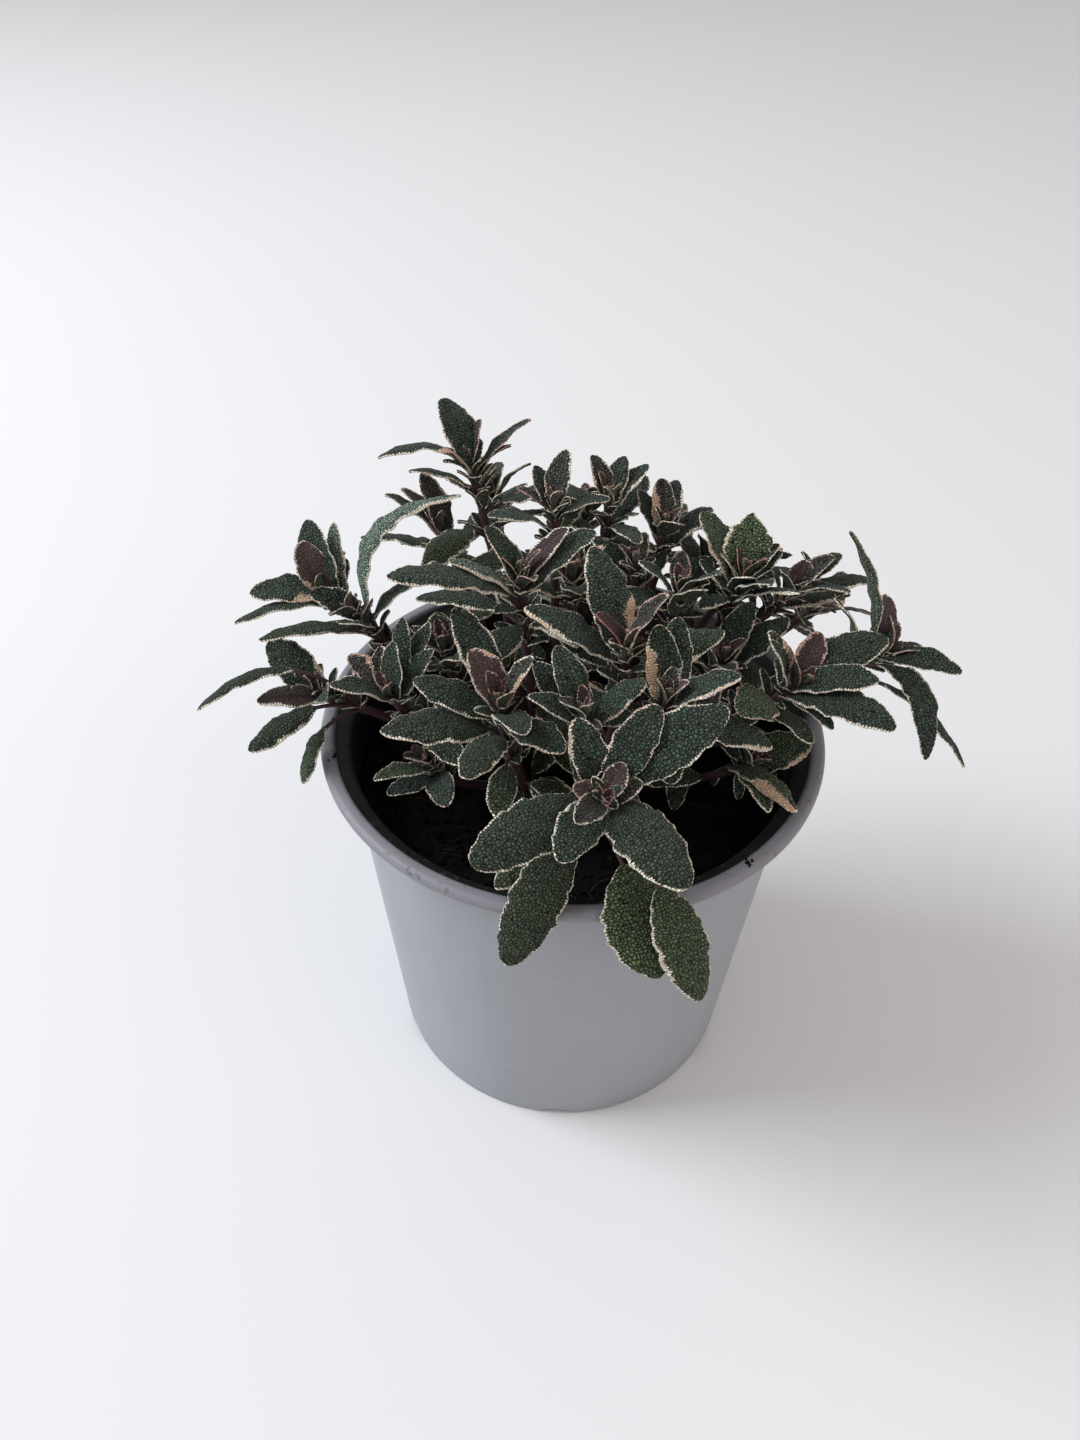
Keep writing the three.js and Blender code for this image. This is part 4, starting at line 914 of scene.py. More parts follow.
@dataclass
class Skin:
    """Collects surfaces in millimetres, with named attributes at each vertex, into one mesh."""

    channels: tuple[str, ...] = ()
    vertices: list[Array] = field(default_factory=list)
    values: list[dict[str, Array]] = field(default_factory=list)
    uvs: list[Array] = field(default_factory=list)
    quads: list[Array] = field(default_factory=list)
    triangles: list[Array] = field(default_factory=list)
    count: int = 0

    def add_points(self, points: Array, values: dict[str, Grid], uv: Array | None) -> int:
        """Adds vertices.

        Args:
            points: their places.
            values: their attributes, each one number or one a vertex. What is left out is 0.
            uv: their pattern coordinates, or None for zeros.

        Returns:
            The number of the first one.
        """
        total = len(points)
        self.vertices.append(points)
        self.values.append({
            name: np.broadcast_to(np.asarray(values.get(name, 0.0), float), (total,))
            for name in self.channels
        })
        self.uvs.append(np.zeros((total, 2)) if uv is None else uv)
        first = self.count
        self.count += total
        return first

    def add_tube(
        self, rings: Array, start: Array, end: Array,
        values: dict[str, Grid] | None = None, uv: Array | None = None,
    ) -> None:
        """Adds a closed skin over rings of points, with a pole at each end.

        Args:
            rings: points of shape (rings, around, 3), each ring anticlockwise seen from the end.
            start: the pole before the first ring.
            end: the pole after the last ring.
            values: attributes, each one number or of shape (rings, around).
            uv: pattern coordinates of shape (rings, around, 2).
        """
        count, around = rings.shape[:2]
        flat = {}
        for name, value in (values or {}).items():
            grid = np.broadcast_to(np.asarray(value, float), (count, around))
            flat[name] = np.concatenate([grid[0, :1], grid.ravel(), grid[-1, :1]])
        flat_uv = None
        if uv is not None:
            flat_uv = np.concatenate([uv[:1].mean(1), uv.reshape(-1, 2), uv[-1:].mean(1)])
        points = np.concatenate([start[None], rings.reshape(-1, 3), end[None]])
        pole = self.add_points(points, flat, flat_uv)
        k = np.arange(around)
        beside = (k + 1) % around
        here = pole + 1 + np.arange(count - 1)[:, None] * around
        quads = np.stack([here + k, here + beside, here + around + beside, here + around + k], -1)
        self.quads.append(quads.reshape(-1, 4))
        last = pole + 1 + (count - 1) * around
        far_pole = pole + 1 + count * around
        self.triangles.append(np.stack([np.full(around, pole), pole + 1 + beside, pole + 1 + k], -1))
        self.triangles.append(np.stack([last + k, last + beside, np.full(around, far_pole)], -1))

    def add_copies(self, points: Array, faces: Array, values: dict[str, Array]) -> None:
        """Adds many small triangle meshes with the same faces.

        Args:
            points: vertices of shape (copies, vertices, 3).
            faces: the triangles of one copy.
            values: attributes of shape (copies,).
        """
        copies, each = points.shape[:2]
        spread = {name: np.repeat(value, each) for name, value in values.items()}
        first = self.add_points(points.reshape(-1, 3), spread, None)
        starts = first + each * np.arange(copies)
        self.triangles.append((starts[:, None, None] + faces[None]).reshape(-1, 3))

    def build(self, name: str, material: Material, sharp_degrees: float) -> Piece:
        """Writes the mesh in metres.

        Args:
            name: the piece's name.
            material: its finish.
            sharp_degrees: edges that turn by more than this stay crisp.

        Returns:
            The mesh's object, at the origin.
        """
        points = np.concatenate(self.vertices) * MM
        quads = np.concatenate(self.quads) if self.quads else np.zeros((0, 4), int)
        triangles = np.concatenate(self.triangles) if self.triangles else np.zeros((0, 3), int)
        mesh = bpy.data.meshes.new(name)
        mesh.vertices.add(len(points))
        mesh.vertices.foreach_set("co", points.astype(np.float32).ravel())
        loops = np.concatenate([quads.ravel(), triangles.ravel()]).astype(np.int32)
        sizes = np.concatenate([np.full(len(quads), 4), np.full(len(triangles), 3)])
        starts = np.concatenate([[0], np.cumsum(sizes)[:-1]]).astype(np.int32)
        mesh.loops.add(len(loops))
        mesh.loops.foreach_set("vertex_index", loops)
        mesh.polygons.add(len(sizes))
        mesh.polygons.foreach_set("loop_start", starts)
        mesh.update(calc_edges=True)
        mesh.validate()
        mesh.polygons.foreach_set("use_smooth", np.ones(len(mesh.polygons), bool))
        for channel in self.channels:
            data = np.concatenate([value[channel] for value in self.values]).astype(np.float32)
            mesh.attributes.new(channel, "FLOAT", "POINT").data.foreach_set("value", data)
        corners = np.zeros(len(mesh.loops), np.int32)
        mesh.loops.foreach_get("vertex_index", corners)
        uv = np.concatenate(self.uvs)[corners]
        mesh.uv_layers.new(name="pattern").data.foreach_set("uv", uv.astype(np.float32).ravel())
        mesh.set_sharp_from_angle(angle=math.radians(sharp_degrees))
        mesh.materials.append(material)
        piece = bpy.data.objects.new(name, mesh)
        bpy.context.scene.collection.objects.link(piece)
        LOG.info("%s: %d triangles", name, 2 * len(quads) + len(triangles))
        return piece


# Shaders


class Value:
    """A number in a shader graph: Python's operators on it add Math nodes."""

    def __init__(self, graph: Graph, socket: Socket) -> None:
        """Wraps an output socket of a graph."""
        self.graph = graph
        self.socket = socket

    def math(self, operation: str, *others: Value | float, first: Value | float | None = None) -> Value:
        """Adds a Math node.

        Args:
            operation: the Math node's operation.
            others: the operands after the first one.
            first: the first operand, this value if left out.

        Returns:
            The node's result.
        """
        operands = (self if first is None else first, *others)
        node = self.graph.node("ShaderNodeMath", {"operation": operation}, dict(enumerate(operands)))
        return Value(self.graph, node.outputs[0])

    def __add__(self, other: Value | float) -> Value:
        """Returns the sum."""
        return self.math("ADD", other)

    __radd__ = __add__

    def __sub__(self, other: Value | float) -> Value:
        """Returns this value less another."""
        return self.math("SUBTRACT", other)

    def __rsub__(self, other: float) -> Value:
        """Returns a number less this value."""
        return self.math("SUBTRACT", self, first=other)

    def __mul__(self, other: Value | float) -> Value:
        """Returns the product."""
        return self.math("MULTIPLY", other)

    __rmul__ = __mul__

    def __truediv__(self, other: Value | float) -> Value:
        """Returns this value over another."""
        return self.math("DIVIDE", other)

    def __pow__(self, other: float) -> Value:
        """Returns this value raised to a power."""
        return self.math("POWER", other)

    def __abs__(self) -> Value:
        """Returns the size without its sign."""
        return self.math("ABSOLUTE")

    def part(self) -> Value:
        """Returns the part after the whole number."""
        return self.math("FRACT")

    def least(self, other: Value | float) -> Value:
        """Returns the smaller of two values."""
        return self.math("MINIMUM", other)

    def most(self, other: Value | float) -> Value:
        """Returns the larger of two values."""
        return self.math("MAXIMUM", other)

    def ramp(self, low: Value | float, high: Value | float) -> Value:
        """Returns a smooth step from 0 at low to 1 at high."""
        node = self.graph.node(
            "ShaderNodeMapRange", {"interpolation_type": "SMOOTHSTEP"},
            {"Value": self, "From Min": low, "From Max": high},
        )
        return Value(self.graph, node.outputs["Result"])


class Graph:
    """The shader nodes of one material, ending in a Principled surface."""

    def __init__(self, name: str) -> None:
        """Starts an empty material."""
        self.material = bpy.data.materials.new(name)
        self.material.use_nodes = True
        self.tree = self.material.node_tree
        self.tree.nodes.clear()

    def node(
        self, kind: str, settings: dict[str, object] | None = None,
        inputs: dict[str | int, object] | None = None,
    ) -> bpy.types.Node:
        """Adds any node.

        Args:
            kind: the node's type.
            settings: its own properties, set first.
            inputs: values or links of its sockets, by name or number.

        Returns:
            The node.
        """
        node = self.tree.nodes.new(kind)
        for key, setting in (settings or {}).items():
            setattr(node, key, setting)
        for key, given in (inputs or {}).items():
            socket = node.inputs[key]
            source = given.socket if isinstance(given, Value) else given
            if isinstance(source, Socket):
                self.tree.links.new(source, socket)
            elif isinstance(source, tuple) and socket.type == "RGBA":
                socket.default_value = (*source, 1.0)
            else:
                socket.default_value = source
        return node

    def attribute(self, name: str) -> Value:
        """Returns one of the piece's own attributes."""
        node = self.node("ShaderNodeAttribute", {"attribute_name": name, "attribute_type": "GEOMETRY"})
        return Value(self, node.outputs["Fac"])

    def place(self) -> Socket:
        """Returns the Object coordinates, in metres."""
        return self.node("ShaderNodeTexCoord").outputs["Object"]

    def pattern(self) -> Socket:
        """Returns the piece's own pattern coordinates, in millimetres."""
        return self.node("ShaderNodeUVMap", {"uv_map": "pattern"}).outputs["UV"]

    def split(self, vector: Socket) -> tuple[Value, Value, Value]:
        """Returns a vector's three numbers."""
        node = self.node("ShaderNodeSeparateXYZ", None, {0: vector})
        return tuple(Value(self, output) for output in node.outputs)

    def stretched(self, vector: Socket, upwards: float) -> Socket:
        """Returns coordinates whose height counts for more or less, which draws a pattern out."""
        node = self.node("ShaderNodeMapping", None, {"Vector": vector, "Scale": (1.0, 1.0, upwards)})
        return node.outputs[0]

    def noise(self, vector: Socket, scale: float, detail: float = 2.0) -> Value:
        """Returns soft noise between 0 and 1, with about scale lumps a unit."""
        node = self.node("ShaderNodeTexNoise", None, {"Vector": vector, "Scale": scale, "Detail": detail})
        return Value(self, node.outputs["Fac"])

    def mix(
        self, share: Value | float, start: Colour | Socket, end: Colour | Socket,
    ) -> Socket:
        """Returns the colour between start and end: start at share 0, end at share 1."""
        return self.node("ShaderNodeMix", {"data_type": "RGBA"}, {0: share, 6: start, 7: end}).outputs[2]

    def scaled(self, colour: Socket | Colour, by: Value) -> Socket:
        """Returns a colour made lighter or darker by a number."""
        node = self.node("ShaderNodeVectorMath", {"operation": "SCALE"}, {0: colour, "Scale": by})
        return node.outputs[0]

    def bump(
        self, height: Value, depth: float, strength: float, over: Socket | None = None,
    ) -> Socket:
        """Adds a relief.

        Args:
            height: the relief's height, from 0 to 1.
            depth: how deep it is at most, in metres.
            strength: how much of it shows.
            over: the normal that it lies on, or None for the mesh's own.

        Returns:
            The bumped normal.
        """
        inputs = {"Height": height, "Distance": depth, "Strength": strength}
        if over is not None:
            inputs["Normal"] = over
        return self.node("ShaderNodeBump", None, inputs).outputs[0]

    def finish(self, inputs: dict[str, object]) -> Material:
        """Ends the graph in a Principled surface.

        Args:
            inputs: values or links of its sockets, by name.

        Returns:
            The finished material.
        """
        surface = self.node("ShaderNodeBsdfPrincipled", None, inputs)
        self.node("ShaderNodeOutputMaterial", None, {"Surface": surface.outputs[0]})
        return self.material


@dataclass(frozen=True)
class LeafFinish:
    """Sage leaf: dark and pebbled above, with painted shade and highlights, paler below, with a jagged cream
    margin, and mauve when young.
    """

    young: Colour = linear(86, 70, 71)
    grown: Colour = linear(60, 73, 63)
    old: Colour = linear(62, 70, 49)
    green: Colour = linear(90, 106, 76)
    pale: Colour = linear(112, 130, 116)
    under: Colour = linear(104, 112, 96)
    cream: Colour = linear(240, 230, 212)
    tan: Colour = linear(212, 180, 154)
    pink: Colour = linear(190, 118, 116)
    stalk: Colour = linear(70, 48, 54)
    grown_age: Span = (0.12, 0.42)
    old_age: Span = (0.55, 1.0)
    downy_age: Span = (0.1, 0.35)
    down: float = 0.55
    down_light: float = 0.92
    warp_per_mm: float = 0.5
    cells_per_mm: float = 0.82
    cell_stray: float = 0.9
    crease_wide: float = 0.16
    pebble_wide: float = 0.3
    # Painted shade in the creases and painted highlights on the pebble tops, as shares of the blade's colour;
    # lot_light is each pebble's own random tone
    crease_painted_shade: float = -0.28
    net_painted_light: float = 0.95
    pebble_painted_highlight: float = 0.55
    lot_light: float = 0.36
    beads_per_mm: float = 0.95
    jags_per_mm: float = 1.3
    flecks_per_mm: float = 0.35
    margin_soft: float = 0.08
    vein_spacing: float = 4.2
    vein_slant: float = 0.85
    # Painted shade in the grooves of the side veins and the midrib
    vein_painted_shade: float = 0.45
    midrib_painted_shade: float = 0.32
    pebble_depth: float = 0.0007
    fuzz_per_mm: float = 6.0
    fuzz_depth: float = 0.0001
    roughness: float = 0.66
    specular: float = 0.15
    sheen: float = 0.08
    sheen_rough: float = 0.4
    sheen_tint: Colour = (0.95, 1.0, 0.93)

    def cells(self, g: Graph) -> tuple[Value, Value, Value]:
        """Draws the pebbles: the cells of a gently warped pattern, with creases between them.

        Args:
            g: the leaf's graph.

        Returns:
            The net of creases, 0 in them, the pebbles' height, and each pebble's own lot between 0 and 1.
        """
        pattern = g.pattern()
        warp = g.node("ShaderNodeTexNoise", None, {
            "Vector": pattern, "Scale": self.warp_per_mm, "Detail": 1.0,
        })
        bent = g.node("ShaderNodeVectorMath", {"operation": "ADD"}, {0: pattern, 1: warp.outputs["Color"]})
        cell = {"Vector": bent.outputs[0], "Scale": self.cells_per_mm, "Randomness": self.cell_stray}
        creases = g.node("ShaderNodeTexVoronoi", {"feature": "DISTANCE_TO_EDGE"}, cell)
        seats = g.node("ShaderNodeTexVoronoi", {"feature": "F1"}, cell)
        lots = g.node("ShaderNodeSeparateColor", None, {0: seats.outputs["Color"]})
        gap = Value(g, creases.outputs["Distance"])
        return gap.ramp(0.0, self.crease_wide), gap.ramp(0.0, self.pebble_wide), Value(g, lots.outputs[0])

    def veins(self, across: Value, along: Value) -> tuple[Value, Value]:
        """Draws the slanting side veins, fainter near the edge, and the midrib.

        Args:
            across: the distance from the midrib in millimetres, signed.
            along: the distance along the leaf in millimetres.

        Returns:
            The side veins and the midrib, 1 on them.
        """
        off = abs(((along - abs(across) * self.vein_slant) / self.vein_spacing).part() - 0.5)
        vein = off.ramp(0.40, 0.5) * (1.0 - abs(across).ramp(5.0, 8.0) * 0.5)
        return vein, 1.0 - abs(across).ramp(0.15, 0.8)

    def margin(self, g: Graph, along: Value, lot: Value) -> tuple[Value, Value]:
        """Draws the cream margin: it is beaded and follows the pebbles, so its inner edge is jagged.

        Args:
            g: the leaf's graph.
            along: the distance along the leaf in millimetres.
            lot: each pebble's own lot.

        Returns:
            The margin, 1 in it, and the dips between its beads.
        """
        edge, rim = g.attribute("edge"), g.attribute("rim")
        bead = abs((along * self.beads_per_mm + lot * 0.3).part() - 0.5).ramp(0.05, 0.45)
        jag = g.noise(g.pattern(), self.jags_per_mm, 1.0)
        inner = edge + (lot - 0.5) * (rim * 0.4 + 0.2) + (jag - 0.5) * (rim * 0.9 + 0.5)
        wide = rim + rim.least(0.5) * (0.3 - bead * 0.75)
        return 1.0 - inner.ramp(wide - self.margin_soft, wide + self.margin_soft), bead

    def blade(self, g: Graph, relief: Value, fleck: Value) -> Socket:
        """Mixes the blade's green or mauve from its age, its leaning and its side.

        Args:
            g: the leaf's graph.
            relief: the painted shade in the creases and veins and the painted highlight on the pebbles, as a
                share of the colour.
            fleck: soft flecks over the blade.

        Returns:
            The colour.
        """
        age, mauve = g.attribute("age"), g.attribute("mauve")
        colour = g.mix(age.ramp(*self.grown_age), self.young, self.grown)
        colour = g.mix(age.ramp(*self.old_age), colour, self.old)
        colour = g.mix(mauve, colour, self.young)
        colour = g.mix(g.attribute("green"), colour, self.green)
        colour = g.mix(g.attribute("pale"), colour, self.pale)
        colour = g.mix(g.attribute("under") * 0.8, colour, self.under)
        # Young and mauve leaves are downy, which hides the creases, so their painted crease shade and pebble
        # highlights fade to an even factor
        downy = mauve.most(1.0 - age.ramp(*self.downy_age)) * self.down
        light = relief * (1.0 - downy) + downy * self.down_light
        return g.scaled(colour, light * (g.attribute("tone") * 0.6 + 0.7) * (fleck * 0.6 + 0.7))

    def build(self) -> Material:
        """Returns the leaf material, which reads the shoot's attributes and pattern coordinates."""
        g = Graph("sage_leaf")
        pattern = g.pattern()
        across, along, _ = g.split(pattern)
        net, pebble, lot = self.cells(g)
        vein, midrib = self.veins(across, along)
        margin, bead = self.margin(g, along, lot)
        fleck = g.noise(pattern, self.flecks_per_mm, 3.0)
        stalk = g.attribute("stalk")
        # The relief is painted light: shade painted into the creases, veins and midrib, highlights painted on
        # the pebble tops, and each pebble's own random tone
        relief = net * self.net_painted_light + pebble * self.pebble_painted_highlight + lot * self.lot_light + self.crease_painted_shade
        # Painted shade in the vein and midrib grooves
        relief = relief * (1.0 - vein * self.vein_painted_shade) * (1.0 - midrib * self.midrib_painted_shade)
        cream = g.mix(g.attribute("blush"), self.cream, self.pink)
        cream = g.mix((g.attribute("rim") + fleck * 2.0 - 2.0).ramp(0.0, 1.2), cream, self.tan)
        # Painted shade darkens the cream in the creases and in the dips between its beads; the flecks are its
        # own uneven tone
        cream = g.scaled(cream, (net * 0.34 + 0.76) * (fleck * 0.4 + 0.8) * (1.12 - bead * 0.34))
        colour = g.mix(margin * (1.0 - stalk), self.blade(g, relief, fleck), cream)
        colour = g.mix(stalk, colour, self.stalk)
        height = pebble * (1.0 - vein) * (1.0 - midrib) * (1.0 - stalk)
        normal = g.bump(height, self.pebble_depth, 1.0)
        normal = g.bump(g.noise(pattern, self.fuzz_per_mm, 2.0), self.fuzz_depth, 0.5, normal)
        return g.finish({
            "Base Color": colour, "Roughness": self.roughness, "Normal": normal,
            "Specular IOR Level": self.specular, "Sheen Weight": self.sheen,
            "Sheen Roughness": self.sheen_rough, "Sheen Tint": self.sheen_tint,
        })


@dataclass(frozen=True)
class PotFinish:
    """Grey moulded plastic with painted shade round the rim and inside, fine grain, scuffs and a little soil
    dust.
    """

    body: Colour = linear(150, 153, 160)
    # The rim is the body's grey darkened by painted shade from the leaves above it
    rim: Colour = linear(127, 126, 134)
    dust: Colour = linear(84, 76, 70)
    # The inside is the same grey plastic; this dark colour is painted shade
    inside: Colour = linear(30, 29, 32)
    scuffed: Colour = (0.7, 0.7, 0.72)
    scuff: float = 0.1
    flow_per_m: float = 60.0
    cloud_per_m: float = 22.0
    grain_per_m: float = 1500.0
    specks_per_m: float = 420.0
    scuffs_per_m: float = 30.0
    grain_depth: float = 0.00006
    flow_depth: float = 0.0006
    roughness: float = 0.44
    specular: float = 0.42

    def painted_shade_inside(self, z: Value, radius: Value, on_rim: Value) -> Value:
        """Tells the inside of the wall and of the lip, where shade is painted dark, from the outside.

        Args:
            z: the height in metres.
            radius: the distance from the pot's axis in metres.
            on_rim: 1 on the rim.

        Returns:
            1 on the inside.
        """
        neck = POT.neck * MM
        taper = (POT.neck_radius - POT.base_radius) * MM / neck
        middle = z * taper + (POT.base_radius - POT.wall / 2) * MM
        wall = (middle - radius).ramp(0.0, 0.0003) * z.ramp(0.004, 0.005) * (1.0 - on_rim)
        lip = ((POT.rim_mouth + 0.4) * MM - radius).ramp(0.0, 0.0006) * z.ramp(neck - 0.0015, neck)
        return wall.most(lip * (1.0 - z.ramp(neck + 0.0025, neck + 0.0042)))

    def build(self) -> Material:
        """Returns the plastic, which reads the height and the distance from the pot's axis."""
        g = Graph("grey_plastic")
        place = g.place()
        x, y, z = g.split(place)
        neck = POT.neck * MM
        on_rim = z.ramp(neck - 0.0008, neck + 0.0004)
        inner = self.painted_shade_inside(z, (x * x + y * y) ** 0.5, on_rim)
        flow = g.noise(g.stretched(place, 0.12), self.flow_per_m, 3.0)
        cloud = g.noise(place, self.cloud_per_m, 4.0)
        # Painted shade darkens the rim
        colour = g.mix(on_rim, self.body, self.rim)
        # Painted shade darkens the inside of the wall and the lip
        colour = g.mix(inner, colour, self.inside)
        colour = g.scaled(colour, flow * 0.14 + cloud * 0.16 + 0.85)
        specks = g.noise(place, self.specks_per_m, 4.0).ramp(0.60, 0.72)
        low = 1.0 - z.ramp(0.0, 0.035)
        dusty = specks * (on_rim * 0.55 + low * 0.25 + inner * 0.6)
        colour = g.mix(dusty, colour, self.dust)
        scuff = g.noise(g.stretched(place, 14.0), self.scuffs_per_m, 5.0).ramp(0.66, 0.78)
        colour = g.mix(scuff * self.scuff, colour, self.scuffed)
        normal = g.bump(g.noise(place, self.grain_per_m, 2.0), self.grain_depth, 0.6)
        normal = g.bump(flow, self.flow_depth, 0.25, normal)
        return g.finish({
            "Base Color": colour, "Roughness": cloud * 0.14 + self.roughness + dusty * 0.2,
            "Normal": normal, "Specular IOR Level": self.specular,
        })


@dataclass(frozen=True)
class SoilFinish:
    """Moist peat: almost black, with brown bits and fibres that are set by an attribute."""

    peat: Colour = linear(10, 9, 9)
    crumb: Colour = linear(19, 16, 14)
    fibre: Colour = linear(62, 47, 37)
    lumps_per_m: float = 260.0
    grains_per_m: float = 1400.0
    depth: float = 0.0012
    roughness: float = 0.92
    specular: float = 0.15

    def build(self) -> Material:
        """Returns the soil material."""
        g = Graph("potting_soil")
        place = g.place()
        lump = g.noise(place, self.lumps_per_m, 5.0)
        fine = g.noise(place, self.grains_per_m, 3.0)
        colour = g.mix(lump.ramp(0.48, 0.72), self.peat, self.crumb)
        colour = g.mix(g.attribute("woody"), colour, self.fibre)
        colour = g.scaled(colour, fine * 0.9 + 0.5)
        return g.finish({
            "Base Color": colour, "Roughness": self.roughness,
            "Normal": g.bump(lump * 0.7 + fine * 0.3, self.depth, 0.9), "Specular IOR Level": self.specular,
        })


@dataclass(frozen=True)
class FloorFinish:
    """A plain pale surface to stand on."""

    pale: Colour = linear(222, 222, 225)
    clouds_per_m: float = 1.2
    roughness: float = 0.75
    specular: float = 0.25

    def build(self) -> Material:
        """Returns the floor material."""
        g = Graph("pale_floor")
        colour = g.scaled(self.pale, g.noise(g.place(), self.clouds_per_m, 1.0) * 0.03 + 0.985)
        return g.finish({
            "Base Color": colour, "Roughness": self.roughness, "Specular IOR Level": self.specular,
        })


# The plant


@dataclass(frozen=True)
class LeafForm:
    """The fine form of a leaf over its plan: thickness, midrib, quilting, scalloped edge and cream margin."""

    thick: float = 0.55
    edge_thick: float = 0.3
    least_thick: float = 0.12
    rib: float = 0.6
    rib_width: float = 0.6
    rib_taper: float = 0.75
    groove: float = 0.3
    groove_width: float = 0.55
    stalk_thick: float = 1.5
    stalk_above: float = 0.35
    stalk_half: float = 0.85
    stalk_taper: float = 0.2
    stalk_end: Span = (-0.01, 0.04)
    blade_start: Span = (0.0, 0.14)
    blade_opened: Span = (0.0, 0.3)
    least_half: float = 0.12
    quilt: float = 0.22
    vein_spacing: float = 4.2
    vein_slant: float = 0.85
    belly_stray: Span = (-0.08, 0.08)
    point_stray: Span = (-0.06, 0.1)
    scallop: float = 0.28
    scallop_pitch: float = 2.2
    pitch_stray: Span = (0.85, 1.15)
    rough: float = 0.06
    waves: tuple[Span, ...] = ((9.0, 0.035), (5.2, 0.02))
    ripple: float = 0.09
    ripple_pitches: Span = (15.0, 13.0)
    cup_share: float = 0.75
    convex: float = 0.26
    convex_age: Span = (0.3, 0.7)
    convex_stray: Span = (0.3, 1.5)
    edge_roll: float = 0.06
    coarse_old: float = 0.3
    coarse_point: float = 0.4
    coarse_body: float = 0.16
    coarse_teeth: float = 4.0
    size_widths: Span = (9.0, 5.5)
    steps: tuple[float, ...] = (0.62, 0.8, 1.1)
    least_rows: tuple[int, ...] = (12, 9, 7)
    most_rows: int = 72
    stalk_step: float = 1.6
    places: tuple[tuple[float, ...], ...] = (
        (0.1, 0.34, 0.62, 0.86, 1.0),
        (0.12, 0.42, 0.78, 1.0),
        (0.16, 0.62, 1.0),
    )
    margin: Span = (0.24, 0.5)
    margin_width: float = 13.0
    margin_lumps: tuple[tuple[float, Span], ...] = ((0.3, (0.8, 1.6)), (0.35, (2.0, 4.0)), (0.25, (5.0, 8.0)))
    young_margin: float = 1.5
    patch_width: float = 0.25
    patch_end: float = 0.12
    bulge_share: float = 0.55
    bulge: Span = (0.4, 1.5)
    stray_patch_share: float = 0.05
    stray_patch_width: float = 0.18
    under_margin: float = 0.45
    pattern_shift: float = 71.3
    blush: Span = (0.72, 1.4)
    blush_stray: float = 0.2
    tones: Span = (0.3, 0.85)

    def grid(self, leaf: Leaf) -> tuple[Array, Array]:
        """Works out the leaf's grid, finer for large leaves.

        Args:
            leaf: the leaf's plan.

        Returns:
            The shares along the leaf, closer at both ends of the blade, and the places across it.
        """
        blade_length = leaf.length * (1 - leaf.stalk)
        size = sum(leaf.width <= width for width in self.size_widths)
        rows = int(np.clip(round(blade_length / self.steps[size]), self.least_rows[size], self.most_rows))
        k = np.linspace(0, 1, rows + 1)
        s = 0.45 * k + 0.55 * (1 - np.cos(math.pi * k)) / 2
        stalk_rows = max(2, round(leaf.length * leaf.stalk / self.stalk_step))
        stalk = np.linspace(0, leaf.stalk, stalk_rows, endpoint=False) if leaf.stalk > 0 else np.zeros(0)
        t = np.concatenate([stalk, leaf.stalk + (1 - leaf.stalk) * s[:-1]])
        half = np.array(self.places[size])
        return t, np.concatenate([-half[::-1], half])

    def edges(
        self, leaf: Leaf, t: Array, body: Array, coarse: float, chance: Chance,
    ) -> list[Array]:
        """Works out the half width of each side: body (1 + waves) + teeth |sin| + roughness, over a stalk.

        Args:
            leaf: the leaf's plan.
            t: the shares along it.
            body: half the plain blade's width.
            coarse: how coarse its teeth are, from 0 to 1.
            chance: draws for the fine form.

        Returns:
            The half widths of the near and the far side.
        """
        s = leaf.blade_share(t)
        along = t * leaf.length
        tooth = self.scallop * (1 + self.coarse_teeth * coarse)
        stalk_half = self.stalk_half - self.stalk_taper * t / max(leaf.stalk, 0.1)
        opened = ease(*self.blade_opened, s)
        sides = []
        for _ in range(2):
            phase = chance.uniform(0, math.tau, 3)
            wave = sum(
                np.sin(along * math.tau / pitch + start) * amount
                for (pitch, amount), start in zip(self.waves, phase)
            )
            pitch = self.scallop_pitch * chance.uniform(*self.pitch_stray) * (1 + coarse)
            teeth = np.abs(np.sin(along * math.pi / pitch + phase[2] + 0.6 * np.sin(along * 0.9))) - 0.6
            rough = chance.normal(0.0, self.rough, len(t))
            width = body * (1 + wave)
            width = width + ease(*self.blade_start, s) * (tooth * teeth + rough) * np.minimum(body / 3.0, 1.0)
            sides.append(np.maximum(width, stalk_half * (1 - opened) + self.least_half * opened))
        return sides

    def faces(
        self, leaf: Leaf, t: Array, u: Array, half: Array, body: Array,
        chance: Chance,
    ) -> tuple[Array, Array]:
        """Works out the heights of the upper side and the underside over the midrib's plane.

        The upper side is cup |u|^1.3 + ripple + quilt - groove - roll, the underside lies a thickness and
        a rib below it, and the stalk's two sides are half circles that run out into them.

        Args:
            leaf: the leaf's plan.
            t: the shares along it.
            u: the places across it, from -1 to 1.
            half: the half width at each point.
            body: half the plain blade's width.
            chance: draws for the fine form.

        Returns:
            The heights of the upper side and of the underside.
        """
        s = leaf.blade_share(t)
        along = t * leaf.length
        x = half * u[None, :]
        reach = np.abs(u)[None, :]
        phase = chance.uniform(0, math.tau, 2)
        near, far = (
            np.sin(along * math.tau / pitch + start)[:, None]
            for pitch, start in zip(self.ripple_pitches, phase)
        )
        ripple = np.where(u[None, :] < 0, near, far) * reach ** 2 * self.ripple * body[:, None]
        vein = ((along[:, None] - np.abs(x) * self.vein_slant) / self.vein_spacing) % 1.0
        quilt = self.quilt * np.sin(math.pi * vein) * (1 - reach ** 3) * np.minimum(body / 4.0, 1.0)[:, None]
        groove = self.groove * np.exp(-(x / self.groove_width) ** 2)
        convex = self.convex * ease(*self.convex_age, leaf.age) * chance.uniform(*self.convex_stray)
        rolled = self.edge_roll * np.maximum(reach - 0.75, 0.0) / 0.25
